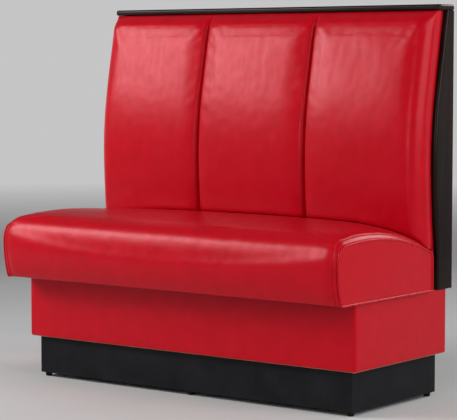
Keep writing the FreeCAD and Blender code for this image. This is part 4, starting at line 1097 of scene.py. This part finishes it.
def plywood_material(name):
    """Birch plywood: plies along its edges and broad figure on its faces."""
    material, tree, shader = node_tree(name)
    figure = noise(tree, space(tree, (6.0, 30.0, 2.5)), 1.0, 5.0)
    plies = noise(tree, space(tree, (12.0, 700.0, 12.0)), 1.0, 1.0)
    face = ramp(tree, figure, (0.3, (0.52, 0.36, 0.20)), (0.7, (0.68, 0.52, 0.33)))
    dark = ramp(tree, plies, (0.45, (0.75, 0.70, 0.62)), (0.6, (1.0, 1.0, 1.0)))
    mixed = add_node(tree, "MixRGB", [("Color1", face), ("Color2", dark)], blend_type="MULTIPLY")
    mixed.inputs["Fac"].default_value = 0.7
    feed(tree, shader, base_color=mixed.outputs["Color"],
         normal=bump(tree, figure, FIGURE_DEPTH, 0.3))
    shader.inputs["Roughness"].default_value = 0.62
    return material


def metal_material(name, colour, roughness=(0.28, 0.45)):
    """Plated or drawn metal with a slightly uneven polish."""
    material, tree, shader = node_tree(name)
    cloud = noise(tree, space(tree), 220.0, 3.0)
    scratch = noise(tree, space(tree, (2600.0, 2600.0, 90.0)), 1.0, 1.0)
    duller = tuple(value * 0.78 for value in colour)
    feed(tree, shader, base_color=ramp(tree, cloud, (0.3, duller), (0.7, colour)),
         roughness=ramp(tree, cloud, (0.3, roughness[0]), (0.7, roughness[1])),
         normal=bump(tree, scratch, SCRATCH_DEPTH, 0.3))
    shader.inputs["Metallic"].default_value = 1.0
    return material


def soft_material(name, dark, light, rate, depth):
    """Foam, felt or thin cloth: a matt, open surface at its own rate."""
    material, tree, shader = node_tree(name)
    texture = noise(tree, space(tree), rate, 4.0, 0.7)
    feed(tree, shader, base_color=ramp(tree, texture, (0.3, dark), (0.7, light)),
         normal=bump(tree, texture, depth, 0.6))
    shader.inputs["Roughness"].default_value = 0.95
    return material


MATERIALS = {
    "red_vinyl": vinyl_material("red_vinyl"),
    "red_piping": vinyl_material("red_piping", (0.26, 0.32)),
    "stained_wood": wood_material("stained_wood", 2, (0.004, 0.0016, 0.001),
                                  (0.015, 0.006, 0.0032)),
    "back_laminate": laminate_material("back_laminate", (0.010, 0.006, 0.005),
                                       (0.018, 0.011, 0.009)),
    "toe_kick_laminate": laminate_material("toe_kick_laminate", (0.008, 0.008, 0.0095),
                                           (0.014, 0.014, 0.016)),
    "nylon": laminate_material("nylon", (0.008, 0.008, 0.008), (0.013, 0.013, 0.013)),
    "zinc_steel": metal_material("zinc_steel", (0.62, 0.62, 0.60)),
    "black_screw": metal_material("black_screw", (0.03, 0.03, 0.03), (0.35, 0.5)),
    "spring_steel": metal_material("spring_steel", (0.36, 0.36, 0.37)),
    "foam": soft_material("foam", (0.72, 0.64, 0.44), (0.84, 0.78, 0.60), 900.0, 0.5 * MM),
    "felt": soft_material("felt", (0.32, 0.29, 0.26), (0.52, 0.49, 0.45), 500.0, 0.6 * MM),
    "dust_cloth": soft_material("dust_cloth", (0.012, 0.012, 0.013), (0.028, 0.028, 0.03),
                                800.0, 0.2 * MM),
    "plywood": plywood_material("plywood"),
    "frame_wood": wood_material("frame_wood", 0, (0.42, 0.28, 0.15), (0.62, 0.45, 0.26),
                                (0.55, 0.7)),
}
CAP_WOOD = wood_material("stained_wood_cap", 0, (0.007, 0.004, 0.0035), (0.024, 0.013, 0.010))


def dress(piece, material):
    """Give a piece one material, on the object's own slots."""
    if not piece.material_slots:
        piece.data.materials.append(None)
    for slot in piece.material_slots:
        slot.link = "OBJECT"
        slot.material = material


for row in frame["record"]["subparts"]:
    dress(frame["nodes"][row["node"]], MATERIALS[row["material_slot"]])
dress(frame["nodes"]["top_cap"], CAP_WOOD)
for piece in (seat_cushion, back_cushion, back_pull_down, base_skirt):
    dress(piece, MATERIALS["red_vinyl"])
for side_name in ("left", "right"):
    dress(bpy.data.objects["seat_end_" + side_name], MATERIALS["red_vinyl"])
    for name in ("seat_piping_", "back_piping_", "seat_stitches_"):
        dress(bpy.data.objects[name + side_name], MATERIALS["red_piping"])


EDGE_WIDTH = 1.2 * MM
SHARP_DEGREES = 40


def soften_edges(piece):
    """Small rounded arrises on a sawn board."""
    join = piece.modifiers.new("join", "WELD")
    join.merge_threshold = 0.01 * MM
    edges = piece.modifiers.new("edges", "BEVEL")
    edges.width = EDGE_WIDTH
    edges.segments = 2
    edges.limit_method = "ANGLE"
    edges.angle_limit = math.radians(SHARP_DEGREES)
    piece.modifiers.new("shading", "WEIGHTED_NORMAL")


for node in ("end_panel_left", "end_panel_right", "outside_back_panel", "plinth_front_board",
             "plinth_left_board", "plinth_right_board", "plinth_rear_board"):
    soften_edges(frame["nodes"][node])


FLOOR_RADIUS = 9.0
FLOOR_CLEAR = 3.5
FLOOR_DARK = (0.60, 0.60, 0.60)
FLOOR_LIGHT = (0.63, 0.63, 0.63)
BACKGROUND = (0.56, 0.56, 0.565)
BACKGROUND_ABOVE = (0.12, 0.12, 0.12)
AMBIENT = 0.16
# Name, place, target, width, height and power
LIGHTS = (
    ("key", (-2.4, -2.15, 2.15), (0.1, 0, 0.7), 2.0, 1.3, 106),
    ("front", (1.35, -3.9, 1.35), (0.35, 0, 0.6), 1.0, 1.4, 27),
    ("side", (3.4, -0.25, 1.8), (0.4, 0, 0.4), 2.4, 2.2, 74),
    ("rim", (1.6, 3.2, 2.6), (0.2, 0.2, 0.8), 2.4, 1.0, 50),
)


def make_floor():
    """Pale round floor that fades into the background around the object."""
    mesh = bmesh.new()
    bmesh.ops.create_circle(mesh, cap_ends=True, radius=FLOOR_RADIUS, segments=96)
    data = bpy.data.meshes.new("floor")
    mesh.to_mesh(data)
    mesh.free()
    floor = bpy.data.objects.new("floor", data)
    bpy.context.scene.collection.objects.link(floor)
    material, tree, shader = node_tree("pale_floor")
    place = space(tree)
    cloud = noise(tree, place, 3.0, 3.0)
    feed(tree, shader, base_color=ramp(tree, cloud, (0.3, FLOOR_DARK), (0.7, FLOOR_LIGHT)))
    shader.inputs["Roughness"].default_value = 0.7
    length = add_node(tree, "VectorMath", [("Vector", place)], operation="LENGTH")
    fade = add_node(tree, "MapRange", [("Value", length.outputs["Value"])],
                    from_min=FLOOR_CLEAR, from_max=FLOOR_RADIUS)
    clear = add_node(tree, "BsdfTransparent")
    mixed = add_node(tree, "MixShader", [("Fac", fade.outputs["Result"]),
                                         (1, shader.outputs["BSDF"]), (2, clear.outputs["BSDF"])])
    tree.links.new(mixed.outputs["Shader"], tree.nodes["Material Output"].inputs["Surface"])
    dress(floor, material)
    floor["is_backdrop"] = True


def make_world():
    """Dim ambient light behind a pale background that the camera, gloss and glass see."""
    world = bpy.data.worlds.new("world")
    world.use_nodes = True
    tree = world.node_tree
    place = add_node(tree, "TexCoord").outputs["Generated"]
    height = add_node(tree, "SeparateXYZ", [("Vector", place)]).outputs["Z"]
    backdrop = ramp(tree, height, (0.0, BACKGROUND), (0.06, BACKGROUND), (0.22, BACKGROUND_ABOVE))
    tree.links.new(backdrop, tree.nodes["Background"].inputs["Color"])
    ambient = add_node(tree, "Background", strength=AMBIENT)
    rays = add_node(tree, "LightPath")
    seen = rays.outputs["Is Camera Ray"]
    for kind in ("Is Glossy Ray", "Is Transmission Ray"):
        either = add_node(tree, "Math", [(0, seen), (1, rays.outputs[kind])], operation="MAXIMUM")
        seen = either.outputs["Value"]
    mixed = add_node(tree, "MixShader", [("Fac", seen), (1, ambient.outputs["Background"]),
                                         (2, tree.nodes["Background"].outputs["Background"])])
    tree.links.new(mixed.outputs["Shader"], tree.nodes["World Output"].inputs["Surface"])
    bpy.context.scene.world = world


def make_light(name, place, target, size, size_y, power):
    """Rectangular soft light that faces a target."""
    data = bpy.data.lights.new(name, "AREA")
    data.shape = "RECTANGLE"
    data.size = size
    data.size_y = size_y
    data.energy = power
    light = bpy.data.objects.new(name, data)
    light.location = place
    light.rotation_euler = (Vector(target) - Vector(place)).to_track_quat("-Z", "Y").to_euler()
    bpy.context.scene.collection.objects.link(light)


def make_camera():
    data = bpy.data.cameras.new("camera")
    data.sensor_width = CAMERA_SENSOR
    data.lens = CAMERA_LENS
    camera = bpy.data.objects.new("camera", data)
    camera.location = CAMERA_PLACE
    camera.rotation_euler = (math.radians(CAMERA_PITCH_DEGREES), 0,
                             math.radians(CAMERA_AZIMUTH_DEGREES))
    bpy.context.scene.collection.objects.link(camera)
    bpy.context.scene.camera = camera


make_floor()
make_camera()
make_world()
for light in LIGHTS:
    make_light(*light)
bpy.context.scene.view_settings.view_transform = "Standard"


def corners(box):
    """Box's two corners as plain lists."""
    return [list(box[0]), list(box[1])]


{"cad": corners(cad_box), "visual": corners(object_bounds())}
